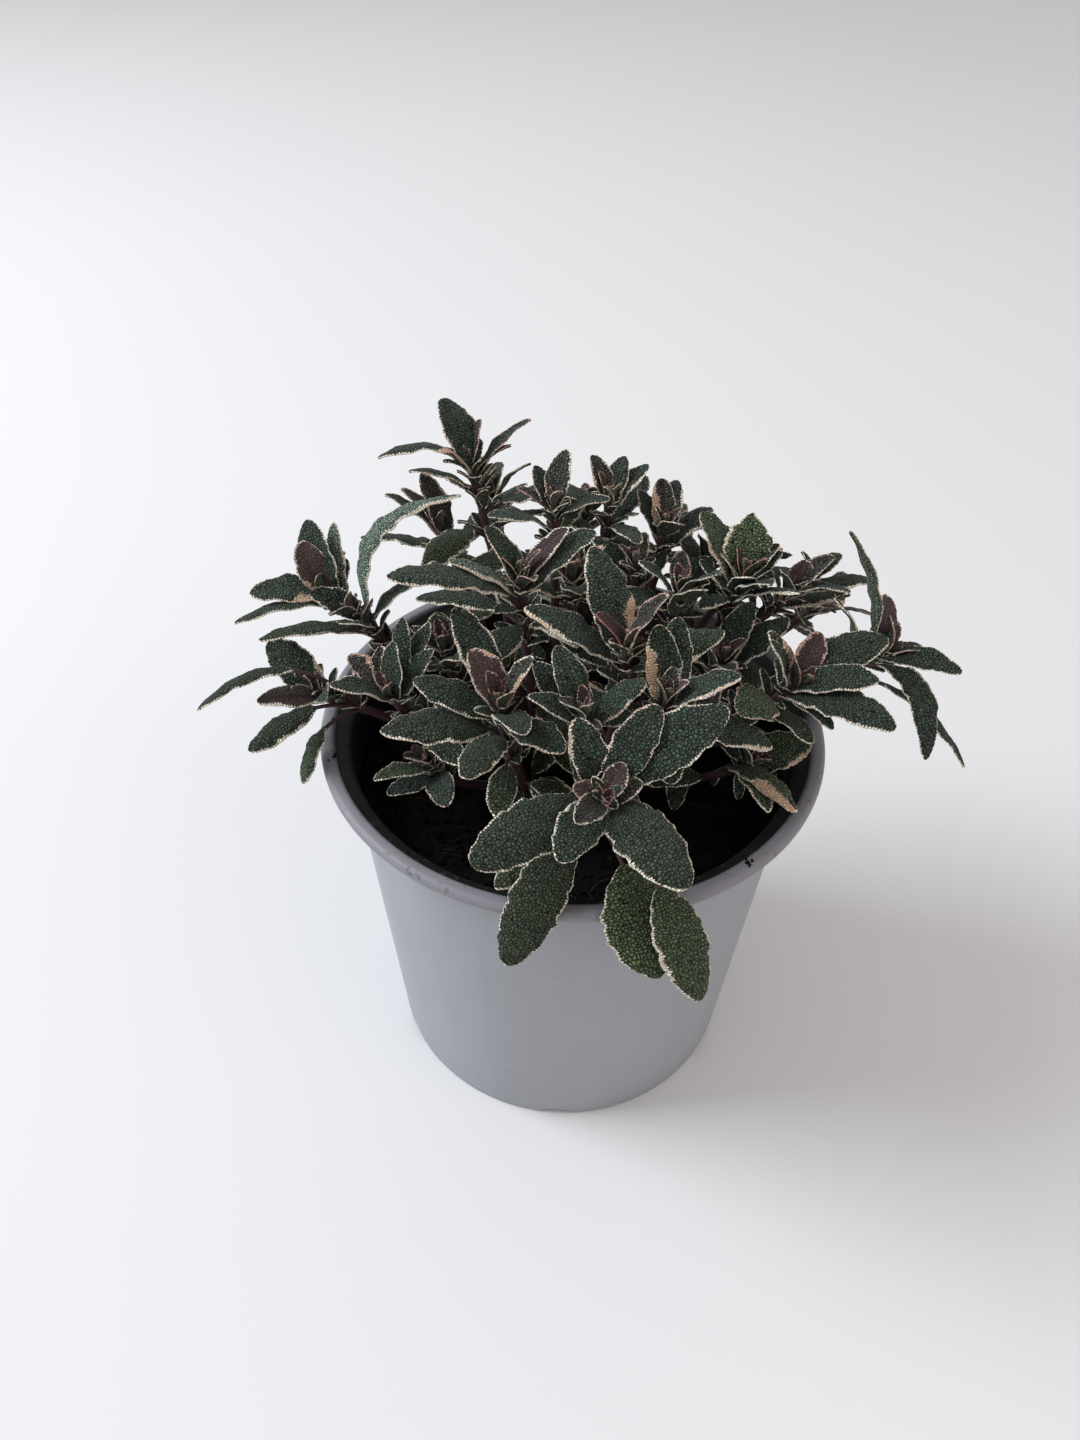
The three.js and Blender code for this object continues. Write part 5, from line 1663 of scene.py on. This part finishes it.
        roll_under = -(convex * reach ** 2 + rolled) * body[:, None]
        sheet = leaf.cup * self.cup_share * half * reach ** 1.3 + ripple + quilt - groove + roll_under
        round_half = np.sqrt(np.maximum(1 - reach ** 2, 0.0))
        share = ease(*self.blade_start, s)[:, None]
        stalk = (1 - share) * self.stalk_thick * round_half
        top = share * sheet + stalk * self.stalk_above
        depth = self.edge_thick + (self.thick - self.edge_thick) * round_half
        depth = depth + self.rib * (1 - self.rib_taper * s)[:, None] * np.exp(-(x / self.rib_width) ** 2)
        low = share * (sheet - depth) - stalk * (1 - self.stalk_above)
        return top, np.minimum(low, top - self.least_thick)

    def add(self, skin: Skin, leaf: Leaf, order: int, chance: Chance) -> None:
        """Adds one leaf to a shoot's skin: midrib + x side + height face, for both faces of the blade.

        Args:
            skin: the shoot's skin.
            leaf: the leaf's plan.
            order: the leaf's number, which shifts its pattern.
            chance: draws for the fine form.
        """
        t, u = self.grid(leaf)
        s = leaf.blade_share(t)
        along = t * leaf.length
        green, pale, mauve = leaf.tint.value
        coarse = 1.0 if leaf.tint is Tint.GREEN and leaf.pair < 5 else self.coarse_old * green
        belly = LEAF.belly + chance.uniform(*self.belly_stray)
        point = LEAF.point + chance.uniform(*self.point_stray) + self.coarse_point * coarse
        body = leaf.width / 2 * (1 + self.coarse_body * coarse) * outline(s, belly, point)
        near, far = self.edges(leaf, t, body, coarse, chance)
        half = np.where(u[None, :] < 0, near[:, None], far[:, None])
        x = half * u[None, :]
        top, low = self.faces(leaf, t, u, half, body, chance)
        middle, side, face = leaf.at(t)
        upper, lower = (
            middle[:, None] + side[:, None] * x[..., None] + face[:, None] * height[..., None]
            for height in (top, low)
        )
        to_tip = (1 - s)[:, None] * leaf.length * (1 - leaf.stalk)
        edge = np.minimum(half * (1 - np.abs(u)[None, :]), to_tip + 0.2)
        rim = self.rim(leaf, s, u, chance)
        uv = np.stack([x, np.broadcast_to(along[:, None] + self.pattern_shift * order, x.shape)], -1)
        stalk = np.broadcast_to(1 - ease(*self.stalk_end, s)[:, None], x.shape)
        ones = np.ones_like(x)
        blush, fades = self.blush
        values = {
            "edge": self.ring(edge, edge),
            "rim": self.ring(rim * self.under_margin, rim),
            "under": self.ring(ones, 0 * ones),
            "age": leaf.age,
            "tone": chance.uniform(*self.tones) if leaf.noted else leaf.tone,
            "stalk": self.ring(stalk, stalk),
            "blush": float(np.clip(chance.normal(blush - fades * leaf.age, self.blush_stray), 0.0, 1.0)),
            "green": green,
            "pale": pale,
            "mauve": mauve,
        }
        start = leaf.base - (leaf.tip - leaf.base) * 0.01
        skin.add_tube(self.ring(lower, upper), start, leaf.bow.point(1.0), values, self.ring(uv, uv))

    @staticmethod
    def ring(under: Array, over: Array) -> Array:
        """Returns a ring's values: seen from the tip, along the underside and back along the upper side."""
        return np.concatenate([under, over[:, ::-1]], axis=1)

    def rim(self, leaf: Leaf, s: Array, u: Array, chance: Chance) -> Array:
        """Works out the cream margin's width: uneven, with a wide patch where the plan has one.

        Args:
            leaf: the leaf's plan.
            s: the shares of the blade.
            u: the places across it.
            chance: draws for the margin.

        Returns:
            The width at each point, in millimetres.
        """
        width = np.zeros((len(s), len(u)))
        size = min(leaf.width / self.margin_width, 1.0) * 0.7 + 0.3
        wide_side = chance.choice((-1.0, 1.0))
        young = self.young_margin if leaf.pair in (1, 2) and leaf.width > 4 else 1
        for way in (-1.0, 1.0):
            base = chance.uniform(*self.margin) * size * young
            lumps = sum(
                amount * np.sin(s * math.tau * chance.uniform(*span) + chance.uniform(0, math.tau))
                for amount, span in self.margin_lumps
            )
            line = base * (1 + lumps * (1.9 - 0.9 * size))
            if way == wide_side and chance.random() < self.bulge_share and leaf.pair > 1:
                spot, spread = chance.uniform(0.15, 0.9), chance.uniform(0.1, 0.3)
                line = line + chance.uniform(*self.bulge) * size * np.exp(-((s - spot) / spread) ** 2)
            if chance.random() < self.stray_patch_share and leaf.pair > 1 and not leaf.noted:
                inside = ease(0.75, 1.0, np.cos((s - chance.uniform(0.2, 0.9)) * 4.0))
                line = line + leaf.width * self.stray_patch_width * inside
            if leaf.patch.value[0] == way:
                _, first, last = leaf.patch.value
                inside = ease(first, first + self.patch_end, s) * (1 - ease(last - self.patch_end, last, s))
                line = line + leaf.width * self.patch_width * inside
            width[:, (u < 0) if way < 0 else (u > 0)] = line[:, None]
        return width


@dataclass
class Plant:
    """The sage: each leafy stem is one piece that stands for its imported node."""

    growth: Growth
    form: LeafForm = LeafForm()
    stem_sides: int = 12
    stem_rows: int = 60
    knot: float = 0.35
    knot_length: float = 1.6
    square: float = 0.06
    rough: float = 0.015
    bud_leaves: int = 4
    bud_drop: float = 0.3
    bud_slender: float = 0.42
    bud_arch: float = 0.05
    bud_cup: float = 0.6
    seed: int = 1000
    channels: tuple[str, ...] = (
        "edge", "rim", "under", "age", "tone", "stalk", "blush", "green", "pale", "mauve",
    )

    def add_stem(self, skin: Skin, index: int, chance: Chance) -> None:
        """Adds a stem: a slightly square tube along its bow, thicker at each pair of leaves.

        Its radius is (foot to tip + knots exp(-(l / length)^2)) (1 + square cos(4 turn) + roughness).

        Args:
            skin: the shoot's skin.
            index: the shoot's number.
            chance: draws for its roughness.
        """
        stem = self.growth.stems[index]
        root = stem.bow.start
        t = np.linspace(0, 1, self.stem_rows)
        foot = np.array([root[0], root[1], POT.soil_top - POT.hole_depth + POT.soil_gap])
        path = np.concatenate([foot[None], (foot * 0.4 + root * 0.6)[None], stem.bow.point(t)])
        heading = np.concatenate([[UP, UP], stem.bow.heading(t)])
        t = np.concatenate([[0.0, 0.0], t])
        first = unit(EAST - heading * heading[:, :1])
        turn = round_angles(self.stem_sides)
        radius = STEM.foot_radius + (STEM.tip_radius - STEM.foot_radius) * t
        for drop in LEAF.drop[2:self.growth.shoots[index].pairs]:
            off = (t - stem.share_below(drop)) * stem.length
            radius = radius + self.knot * np.exp(-(off / self.knot_length) ** 2)
        rough = chance.normal(0, self.rough, (len(t), 1))
        radius = radius[:, None] * (1 + self.square * np.cos(4 * turn)[None] + rough)
        rings = round_rings(path, first, np.cross(heading, first), turn, radius)
        end = stem.bow.point(1.0) + stem.bow.heading(1.0) * STEM.tip_radius
        along = np.concatenate([[0], np.cumsum(np.linalg.norm(np.diff(path, axis=0), axis=1))])
        uv = np.stack(np.broadcast_arrays(turn[None] * 1.5, along[:, None]), -1)
        values = {"edge": 9.0, "rim": 0.0, "age": 0.6, "tone": 0.5, "stalk": 1.0}
        skin.add_tube(rings, path[0] - UP * 0.2, end, values, uv)

    def bud(self, index: int, chance: Chance) -> Iterable[Leaf]:
        """Plans the smallest leaves, folded together at the crown.

        Args:
            index: the shoot's number.
            chance: draws for their place, length and tone.

        Returns:
            The leaves, one by one.
        """
        shoot = self.growth.shoots[index]
        base, axis = self.growth.stems[index].below(self.bud_drop)
        for k in range(self.bud_leaves):
            turn = math.radians(shoot.turn + 45 + 90 * k) + chance.uniform(-0.2, 0.2)
            way = Stem.lean(axis, turn, math.radians(80 - 5 * (k // 2) + chance.uniform(-4, 4)))
            reach = (3.6 + 1.8 * (k // 2)) * shoot.size * chance.uniform(0.85, 1.15)
            yield Leaf(
                index, 0, base, base + way * reach, unit(axis - way * (axis @ way)), self.bud_arch * reach,
                reach * self.bud_slender, 0.0, self.bud_cup, 0.0, tone=chance.uniform(0.3, 0.8),
            )

    def build(self, material: Material) -> list[Piece]:
        """Builds every shoot.

        Args:
            material: the leaf finish.

        Returns:
            The shoots' pieces.
        """
        pieces = []
        for index, shoot in enumerate(self.growth.shoots):
            chance = np.random.default_rng(self.seed + index)
            skin = Skin(self.channels)
            self.add_stem(skin, index, chance)
            leaves = [leaf for leaf in self.growth.leaves if leaf.shoot == index]
            for order, leaf in enumerate([*leaves, *self.bud(index, chance)]):
                self.form.add(skin, leaf, 100 * index + order, chance)
            piece = skin.build(f"leafy_stem_{shoot.name}", material, 55.0)
            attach(piece, "root")
            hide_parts(f"shoot_{shoot.name}")
            pieces.append(piece)
        return pieces


# The pot and its soil


@dataclass
class Pot:
    """The nursery pot: a turned wall with a rolled rim, a foot ring, drain holes and arched notches."""

    sizes: PotSizes = POT
    sides: int = 192
    rim_round: float = 2.2
    lip_round: float = 1.9
    corner_steps: int = 5
    floor_round: float = 0.8
    foot_edge: tuple[Span, ...] = ((-0.8, 0.0), (-0.2, 0.25), (0.05, 0.9))
    under_rim: tuple[Span, ...] = ((-0.1, -1.2), (0.5, -0.3), (1.4, 0.0))
    drain_sides: int = 24
    arch_steps: int = 15
    cut_past: float = 2.0
    notch_sunk: float = 0.5
    notch_reach: Span = (-9.0, 6.0)
    sharp_degrees: float = 40.0

    def corner(self, centre: Span, radius: float, start: float, end: float) -> list[Span]:
        """Returns the profile's points on a rounded corner, from one angle to another in degrees."""
        angles = np.radians(np.linspace(start, end, self.corner_steps + 1))
        return [(centre[0] + radius * math.cos(a), centre[1] + radius * math.sin(a)) for a in angles]

    def profile(self) -> Array:
        """Returns the outline as (radius, height), from the underside round the rim to the floor inside."""
        size = self.sizes
        neck, top = size.neck, size.height
        r, lip = self.rim_round, self.lip_round
        inner = size.neck_radius - size.wall
        floor_radius = size.outer(size.floor / neck) - size.wall
        line = [
            (size.channel_inner, 0.0),
            (size.channel_inner + size.channel_depth, size.channel_depth),
            (size.foot_inner - size.channel_depth, size.channel_depth),
            (size.foot_inner, 0.0),
        ]
        line += [(size.base_radius + out, z) for out, z in self.foot_edge]
        line += [(size.outer(share), neck * share) for share in np.linspace(0.05, 0.96, 14)]
        line += [(size.neck_radius + out, neck + up) for out, up in self.under_rim]
        line += self.corner((size.rim_radius - r, neck + r), r, -90, 0)
        line += self.corner((size.rim_radius - r, top - r), r, 0, 90)
        line += self.corner((size.rim_mouth + lip, top - lip), lip, 90, 180)
        line += [(size.rim_mouth - 0.9, top - 3.0), (inner + 1.6, neck + 0.9), (inner, neck - 1.2)]
        for z in size.floor + (neck - size.floor) * np.linspace(0.93, 0.06, 12):
            line.append((size.outer(z / neck) - size.wall, z))
        line += [
            (floor_radius, size.floor + self.floor_round),
            (floor_radius - self.floor_round, size.floor),
            (size.channel_inner, size.floor),
        ]
        return np.array(line)

    def cutters(self) -> Piece:
        """Returns the drain holes and the arched notches as one mesh that is cut out of the foot."""
        size = self.sizes
        skin = Skin()
        turn = round_angles(self.drain_sides)
        arch = np.linspace(0, math.pi, self.arch_steps)
        floor_cut = (-self.cut_past, size.floor + self.cut_past)
        wall_cut = [size.base_radius + reach for reach in self.notch_reach]
        for angle in round_angles(size.drains):
            out = np.array([math.sin(angle), -math.cos(angle), 0.0])
            aside = np.array([math.cos(angle), math.sin(angle), 0.0])
            centre = out * size.drain_circle
            circle = np.stack([np.cos(turn), np.sin(turn), 0 * turn], -1) * size.drain_radius + centre
            rings = np.stack([circle + UP * z for z in floor_cut])
            skin.add_tube(rings, centre + UP * floor_cut[0], centre + UP * floor_cut[1])
            mouth = aside * (size.notch_half_width * np.cos(arch))[:, None]
            mouth = mouth + UP * (size.notch_height * np.sin(arch))[:, None]
            ends = np.array([-size.notch_half_width, size.notch_half_width])
            sill = aside * ends[:, None] - UP * self.cut_past
            shape = np.concatenate([mouth, sill]) - UP * self.notch_sunk
            rings = np.stack([shape + out * r for r in wall_cut])
            skin.add_tube(rings, out * wall_cut[0], out * wall_cut[1])
        return skin.build("drain_cutters", bpy.data.materials.new("cut"), 30.0)

    def build(self, material: Material) -> Piece:
        """Turns the profile round the pot's axis, and cuts the drains and notches.

        Args:
            material: the plastic.

        Returns:
            The pot's piece.
        """
        profile = self.profile()
        x, y = turned(profile[:, 0], round_angles(self.sides))
        rings = np.stack([x, y, np.broadcast_to(profile[:, 1:], x.shape)], -1)
        skin = Skin()
        skin.add_tube(rings, 0 * UP, self.sizes.floor * UP)
        pot = skin.build("nursery_pot", material, self.sharp_degrees)
        cutters = self.cutters()
        cut = pot.modifiers.new("drains", "BOOLEAN")
        cut.object = cutters
        cut.operation = "DIFFERENCE"
        cut.solver = "EXACT"
        bpy.context.view_layer.objects.active = pot
        bpy.ops.object.modifier_apply(modifier=cut.name)
        bpy.data.objects.remove(cutters)
        pot.data.set_sharp_from_angle(angle=math.radians(self.sharp_degrees))
        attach(pot, "root")
        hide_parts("pot")
        return pot


@dataclass
class Soil:
    """The potting soil: a lumpy top, loose crumbs and fibres on it, and a few crumbs on the pot's rim."""

    rings: int = 84
    wall_rings: int = 6
    sides: int = 220
    edge_drop: float = 1.5
    crumbs: int = 1500
    crumb_sizes: Span = (0.5, 1.7)
    big: float = 1.7
    big_share: float = 0.06
    crumb_raised: float = 0.25
    woody_share: float = 0.03
    woody: Span = (0.25, 0.7)
    edge_clear: float = 2.5
    fibres: int = 60
    front_fibres: int = 12
    front_spot: tuple[Span, Span] = ((14.0, 9.0), (-66.0, 6.0))
    fibre_sides: int = 5
    fibre_rows: int = 9
    fibre_lengths: Span = (5.0, 14.0)
    fibre_bends: Span = (-3.0, 3.0)
    fibre_rises: Span = (0.2, 1.6)
    fibre_radii: Span = (0.14, 0.32)
    fibre_woody: Span = (0.3, 0.8)
    rim_crumbs: tuple[Span, ...] = ((-90.2, 10.0), (-91.0, -8.5), (-86.0, -29.0), (60.0, -69.5))
    rim_cluster: int = 5
    rim_stray: float = 1.1
    rim_sizes: Span = (0.35, 0.9)
    seed: int = 7

    def height(self, x: Grid, y: Grid) -> Grid:
        """Works out the soil's height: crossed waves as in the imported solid, with finer lumps over them.

        Args:
            x: places in millimetres.
            y: places in millimetres.

        Returns:
            The height there.
        """
        lumps = np.sin(0.21 * x + 1.3) * np.cos(0.17 * y - 0.4) + 0.6 * np.sin(0.34 * x - 0.29 * y)
        fine = np.sin(0.9 * x + 2.0 * np.sin(0.31 * y)) * np.sin(0.8 * y + 1.7 * np.sin(0.37 * x))
        finer = np.sin(2.3 * x + 1.1 * y + 2.0 * np.sin(0.9 * y)) * np.sin(1.9 * y - 1.4 * x)
        return POT.soil_top + POT.soil_lump * 0.6 * lumps + 0.5 * fine + 0.35 * finer

    @staticmethod
    def ball() -> tuple[Array, Array]:
        """Returns the vertices and faces of an icosahedron of radius 1."""
        golden = (1 + 5 ** 0.5) / 2
        corners = np.array([
            (-1, golden, 0), (1, golden, 0), (-1, -golden, 0), (1, -golden, 0),
            (0, -1, golden), (0, 1, golden), (0, -1, -golden), (0, 1, -golden),
            (golden, 0, -1), (golden, 0, 1), (-golden, 0, -1), (-golden, 0, 1),
        ])
        faces = np.array([
            (0, 11, 5), (0, 5, 1), (0, 1, 7), (0, 7, 10), (0, 10, 11), (1, 5, 9), (5, 11, 4), (11, 10, 2),
            (10, 7, 6), (7, 1, 8), (3, 9, 4), (3, 4, 2), (3, 2, 6), (3, 6, 8), (3, 8, 9), (4, 9, 5),
            (2, 4, 11), (6, 2, 10), (8, 6, 7), (9, 8, 1),
        ])
        return unit(corners), faces

    def add_lumps(
        self, skin: Skin, centres: Array, sizes: Array, woody: Array,
        chance: Chance,
    ) -> None:
        """Adds uneven, flattened and turned balls.

        Args:
            skin: the piece's skin.
            centres: their places.
            sizes: their radii.
            woody: how brown each is.
            chance: draws for their shapes.
        """
        ball, faces = self.ball()
        shape = ball[None] * sizes[:, None, None] * chance.uniform(0.65, 1.3, (len(centres), len(ball), 1))
        shape = shape * chance.uniform(0.55, 1.2, (len(centres), 1, 3))
        turn = chance.uniform(0, math.tau, len(centres))
        cos, sin = np.cos(turn)[:, None], np.sin(turn)[:, None]
        x, y, z = shape[..., 0], shape[..., 1], shape[..., 2]
        points = np.stack([x * cos - y * sin, x * sin + y * cos, z], -1) + centres[:, None]
        skin.add_copies(points, faces, {"woody": woody})

    def add_fibre(self, skin: Skin, spot: Array, turn: Array, chance: Chance) -> None:
        """Adds one fibre: a thin tube along a bent line that rises from the soil in a low arc.

        Args:
            skin: the soil's skin.
            spot: the place of its middle.
            turn: the angles round it.
            chance: draws for its heading, length, bend, rise, radius and colour.
        """
        heading = chance.uniform(0, math.tau)
        length = chance.uniform(*self.fibre_lengths)
        t = np.linspace(-0.5, 0.5, self.fibre_rows)
        bend = chance.uniform(*self.fibre_bends)
        flat = np.array([math.cos(heading), math.sin(heading)])
        beside = np.array([-flat[1], flat[0]])
        line = spot + flat * (t * length)[:, None] + beside * (bend * (4 * t ** 2 - 0.5))[:, None]
        z = self.height(line[:, 0], line[:, 1]) + 0.4 + chance.uniform(*self.fibre_rises) * (1 - 4 * t ** 2)
        path = np.concatenate([line, z[:, None]], axis=1)
        ahead = unit(np.gradient(path, axis=0))
        first = unit(np.cross(ahead, UP))
        radius = chance.uniform(*self.fibre_radii) * (1 - 1.2 * t ** 2)
        rings = round_rings(path, first, np.cross(ahead, first), turn, radius[:, None])
        skin.add_tube(rings[:, ::-1], path[0], path[-1], {"woody": chance.uniform(*self.fibre_woody)})

    def add_fibres(self, skin: Skin, wall: float, chance: Chance) -> None:
        """Adds fibres to the soil, the first ones near the front and the others anywhere.

        Args:
            skin: the soil's skin.
            wall: the soil's radius at its top.
            chance: draws for their places and forms.
        """
        turn = round_angles(self.fibre_sides)
        (x, x_stray), (y, y_stray) = self.front_spot
        for k in range(self.fibres):
            if k < self.front_fibres:
                spot = np.array([chance.normal(x, x_stray), chance.normal(y, y_stray)])
            else:
                reach = (wall - 14) * math.sqrt(chance.random())
                angle = chance.uniform(0, math.tau)
                spot = np.array([reach * math.cos(angle), reach * math.sin(angle)])
            if np.hypot(*spot) <= wall - 9:
                self.add_fibre(skin, spot, turn, chance)

    def build(self, material: Material) -> list[Piece]:
        """Builds the soil with what lies on it, and the crumbs on the rim.

        Args:
            material: the peat.

        Returns:
            The soil's piece and the rim crumbs' piece.
        """
        chance = np.random.default_rng(self.seed)
        low = POT.floor + POT.soil_gap
        wall_low = POT.outer(low / POT.neck) - POT.wall - POT.soil_gap
        wall_high = POT.outer(POT.soil_top / POT.neck) - POT.wall - POT.soil_gap
        radii = np.concatenate([
            np.linspace(wall_low, wall_high, self.wall_rings),
            np.linspace(wall_high, 1.0, self.rings)[1:],
        ])
        x, y = turned(radii, round_angles(self.sides))
        z = self.height(x, y)
        z[:self.wall_rings] = np.linspace(low, POT.soil_top - self.edge_drop, self.wall_rings)[:, None]
        skin = Skin(("woody",))
        skin.add_tube(np.stack([x, y, z], -1), low * UP, float(self.height(0.0, 0.0)) * UP, {"woody": 0.0})
        r = (wall_high - self.edge_clear) * np.sqrt(chance.uniform(0, 1, self.crumbs))
        a = chance.uniform(0, math.tau, self.crumbs)
        size = chance.uniform(*self.crumb_sizes, self.crumbs)
        size = size * np.where(chance.random(self.crumbs) < self.big_share, self.big, 1.0)
        centres = np.stack([r * np.cos(a), r * np.sin(a), np.zeros_like(r)], -1)
        centres[:, 2] = self.height(centres[:, 0], centres[:, 1]) + self.crumb_raised * size
        chosen = chance.random(self.crumbs) < self.woody_share
        woody = np.where(chosen, chance.uniform(*self.woody, self.crumbs), 0.0)
        self.add_lumps(skin, centres, size, woody, chance)
        self.add_fibres(skin, wall_high, chance)
        soil = skin.build("potting_soil", material, 60.0)
        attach(soil, "root")
        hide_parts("soil")
        return [soil, self.build_rim_crumbs(material, chance)]

    def build_rim_crumbs(self, material: Material, chance: Chance) -> Piece:
        """Builds the few crumbs that lie on the pot's rim.

        Args:
            material: the peat.
            chance: draws for their places, sizes and shapes.

        Returns:
            Their piece.
        """
        spots = np.array([
            (*spot, POT.height + self.crumb_raised)
            for spot in self.rim_crumbs
            for _ in range(self.rim_cluster)
        ])
        spots[:, :2] += chance.normal(0, self.rim_stray, (len(spots), 2))
        skin = Skin(("woody",))
        size = chance.uniform(*self.rim_sizes, len(spots))
        self.add_lumps(skin, spots, size, np.full(len(spots), 0.1), chance)
        crumbs = skin.build("rim_crumbs", material, 60.0)
        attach(crumbs, "root")
        return crumbs


# The set


@dataclass(frozen=True)
class Lamp:
    """A square soft light: its place and aim in metres, its side, its power and its colour."""

    name: str
    place: tuple[float, float, float]
    aim: tuple[float, float, float]
    size: float
    watts: float
    colour: Colour


@dataclass(frozen=True)
class Studio:
    """The pale floor, the soft lights and the camera at the photograph's angle, in metres and degrees."""

    camera_place: tuple[float, float, float] = (0.0, -0.307, 0.4375)
    yaw: float = -2.296
    pitch: float = 42.008
    roll: float = 1.005
    lens: float = 27.0
    sensor: float = 36.0
    clip_start: float = 0.01
    floor_radii: Span = (0.06, 9.0)
    floor_rings: int = 14
    floor_sides: int = 96
    floor_top: float = -0.05
    floor_base: float = -10.0
    sky: Colour = (1.0, 0.965, 0.94)
    sky_strength: float = 0.62
    lamps: tuple[Lamp, ...] = (
        Lamp("window", (-2.2, 0.1, 2.0), (0.0, 0.1, 0.1), 1.5, 76.0, (0.9, 0.96, 1.0)),
        Lamp("fill", (1.6, -1.0, 1.1), (0.0, 0.0, 0.12), 1.6, 7.5, (1.0, 0.86, 0.72)),
    )

    def floor(self) -> Piece:
        """Builds the floor: a wide disc whose top, floor_top millimetres high, is just under the pot."""
        skin = Skin()
        inner, outer = self.floor_radii
        radii = np.geomspace(inner / MM, outer / MM, self.floor_rings)
        x, y = turned(radii, round_angles(self.floor_sides))
        top = np.stack([x, y, np.full_like(x, self.floor_top)], -1)
        base = np.stack([x[-1], y[-1], np.full_like(x[-1], self.floor_base)], -1)[None]
        skin.add_tube(np.concatenate([base, top[::-1]]), self.floor_base * UP, self.floor_top * UP)
        floor = skin.build("floor", FloorFinish().build(), 30.0)
        floor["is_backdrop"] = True
        return floor

    def add_lamp(self, lamp: Lamp) -> Piece:
        """Adds a light that faces its aim.

        Args:
            lamp: the light's plan.

        Returns:
            Its object.
        """
        data = bpy.data.lights.new(lamp.name, "AREA")
        data.shape = "SQUARE"
        data.size = lamp.size
        data.energy = lamp.watts
        data.color = lamp.colour
        light = bpy.data.objects.new(lamp.name, data)
        back = unit(np.array(lamp.place, float) - np.array(lamp.aim, float))
        right = unit(np.cross(UP, back))
        light.matrix_world = self.placed(right, np.cross(back, right), back, lamp.place)
        bpy.context.scene.collection.objects.link(light)
        return light

    @staticmethod
    def placed(right: Array, up: Array, back: Array, place: Sequence[float]) -> Matrix:
        """Returns the matrix of something whose own X, Y and Z point right, up and back."""
        columns = [(*axis, 0.0) for axis in (right, up, back)] + [(*place, 1.0)]
        return Matrix(np.array(columns, float).T.tolist())

    def camera(self) -> Piece:
        """Adds the camera: turned by its yaw, tipped down by its pitch, and rolled a little."""
        yaw, pitch, roll = (math.radians(angle) for angle in (self.yaw, self.pitch, self.roll))
        ahead = np.array([
            math.sin(yaw) * math.cos(pitch), math.cos(yaw) * math.cos(pitch), -math.sin(pitch),
        ])
        level = np.array([math.cos(yaw), -math.sin(yaw), 0.0])
        raised = np.cross(level, ahead)
        right = level * math.cos(roll) + raised * math.sin(roll)
        up = raised * math.cos(roll) - level * math.sin(roll)
        data = bpy.data.cameras.new("camera")
        data.lens = self.lens
        data.sensor_width = self.sensor
        data.clip_start = self.clip_start
        camera = bpy.data.objects.new("camera", data)
        camera.matrix_world = self.placed(right, up, -ahead, self.camera_place)
        bpy.context.scene.collection.objects.link(camera)
        bpy.context.scene.camera = camera
        return camera

    def build(self) -> None:
        """Sets the floor, the sky, the lights, the camera and the picture's tone."""
        self.floor()
        world = bpy.data.worlds.new("soft_sky")
        world.use_nodes = True
        sky = world.node_tree.nodes["Background"]
        sky.inputs["Color"].default_value = (*self.sky, 1.0)
        sky.inputs["Strength"].default_value = self.sky_strength
        bpy.context.scene.world = world
        for lamp in self.lamps:
            self.add_lamp(lamp)
        self.camera()
        view = bpy.context.scene.view_settings
        view.view_transform = "Standard"
        view.look = "None"
        view.exposure = 0.0


def corners(box: Sequence[Sequence[float]]) -> list[list[float]]:
    """Returns a box's corners as plain lists."""
    return [[float(v) for v in corner] for corner in box]


def main() -> None:
    """Builds the pot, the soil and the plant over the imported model."""
    logging.basicConfig(level=logging.INFO, format="%(name)s %(message)s")
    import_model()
    packed = corners(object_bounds())
    Studio().build()
    pieces: list[Piece] = [Pot().build(PotFinish().build())]
    growth = Growth(SHOOTS, ROOM.seed)
    growth.grow_more(Draw(MORE.seed))
    pieces += Soil().build(SoilFinish().build())
    pieces += Plant(growth).build(LeafFinish().build())
    for piece in pieces:
        LOG.info("%s has %d vertices", piece.name, len(piece.data.vertices))
    dressed = corners(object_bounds())
    LOG.info("packed %s, dressed %s", packed, dressed)


if __name__ == "__main__":
    main()
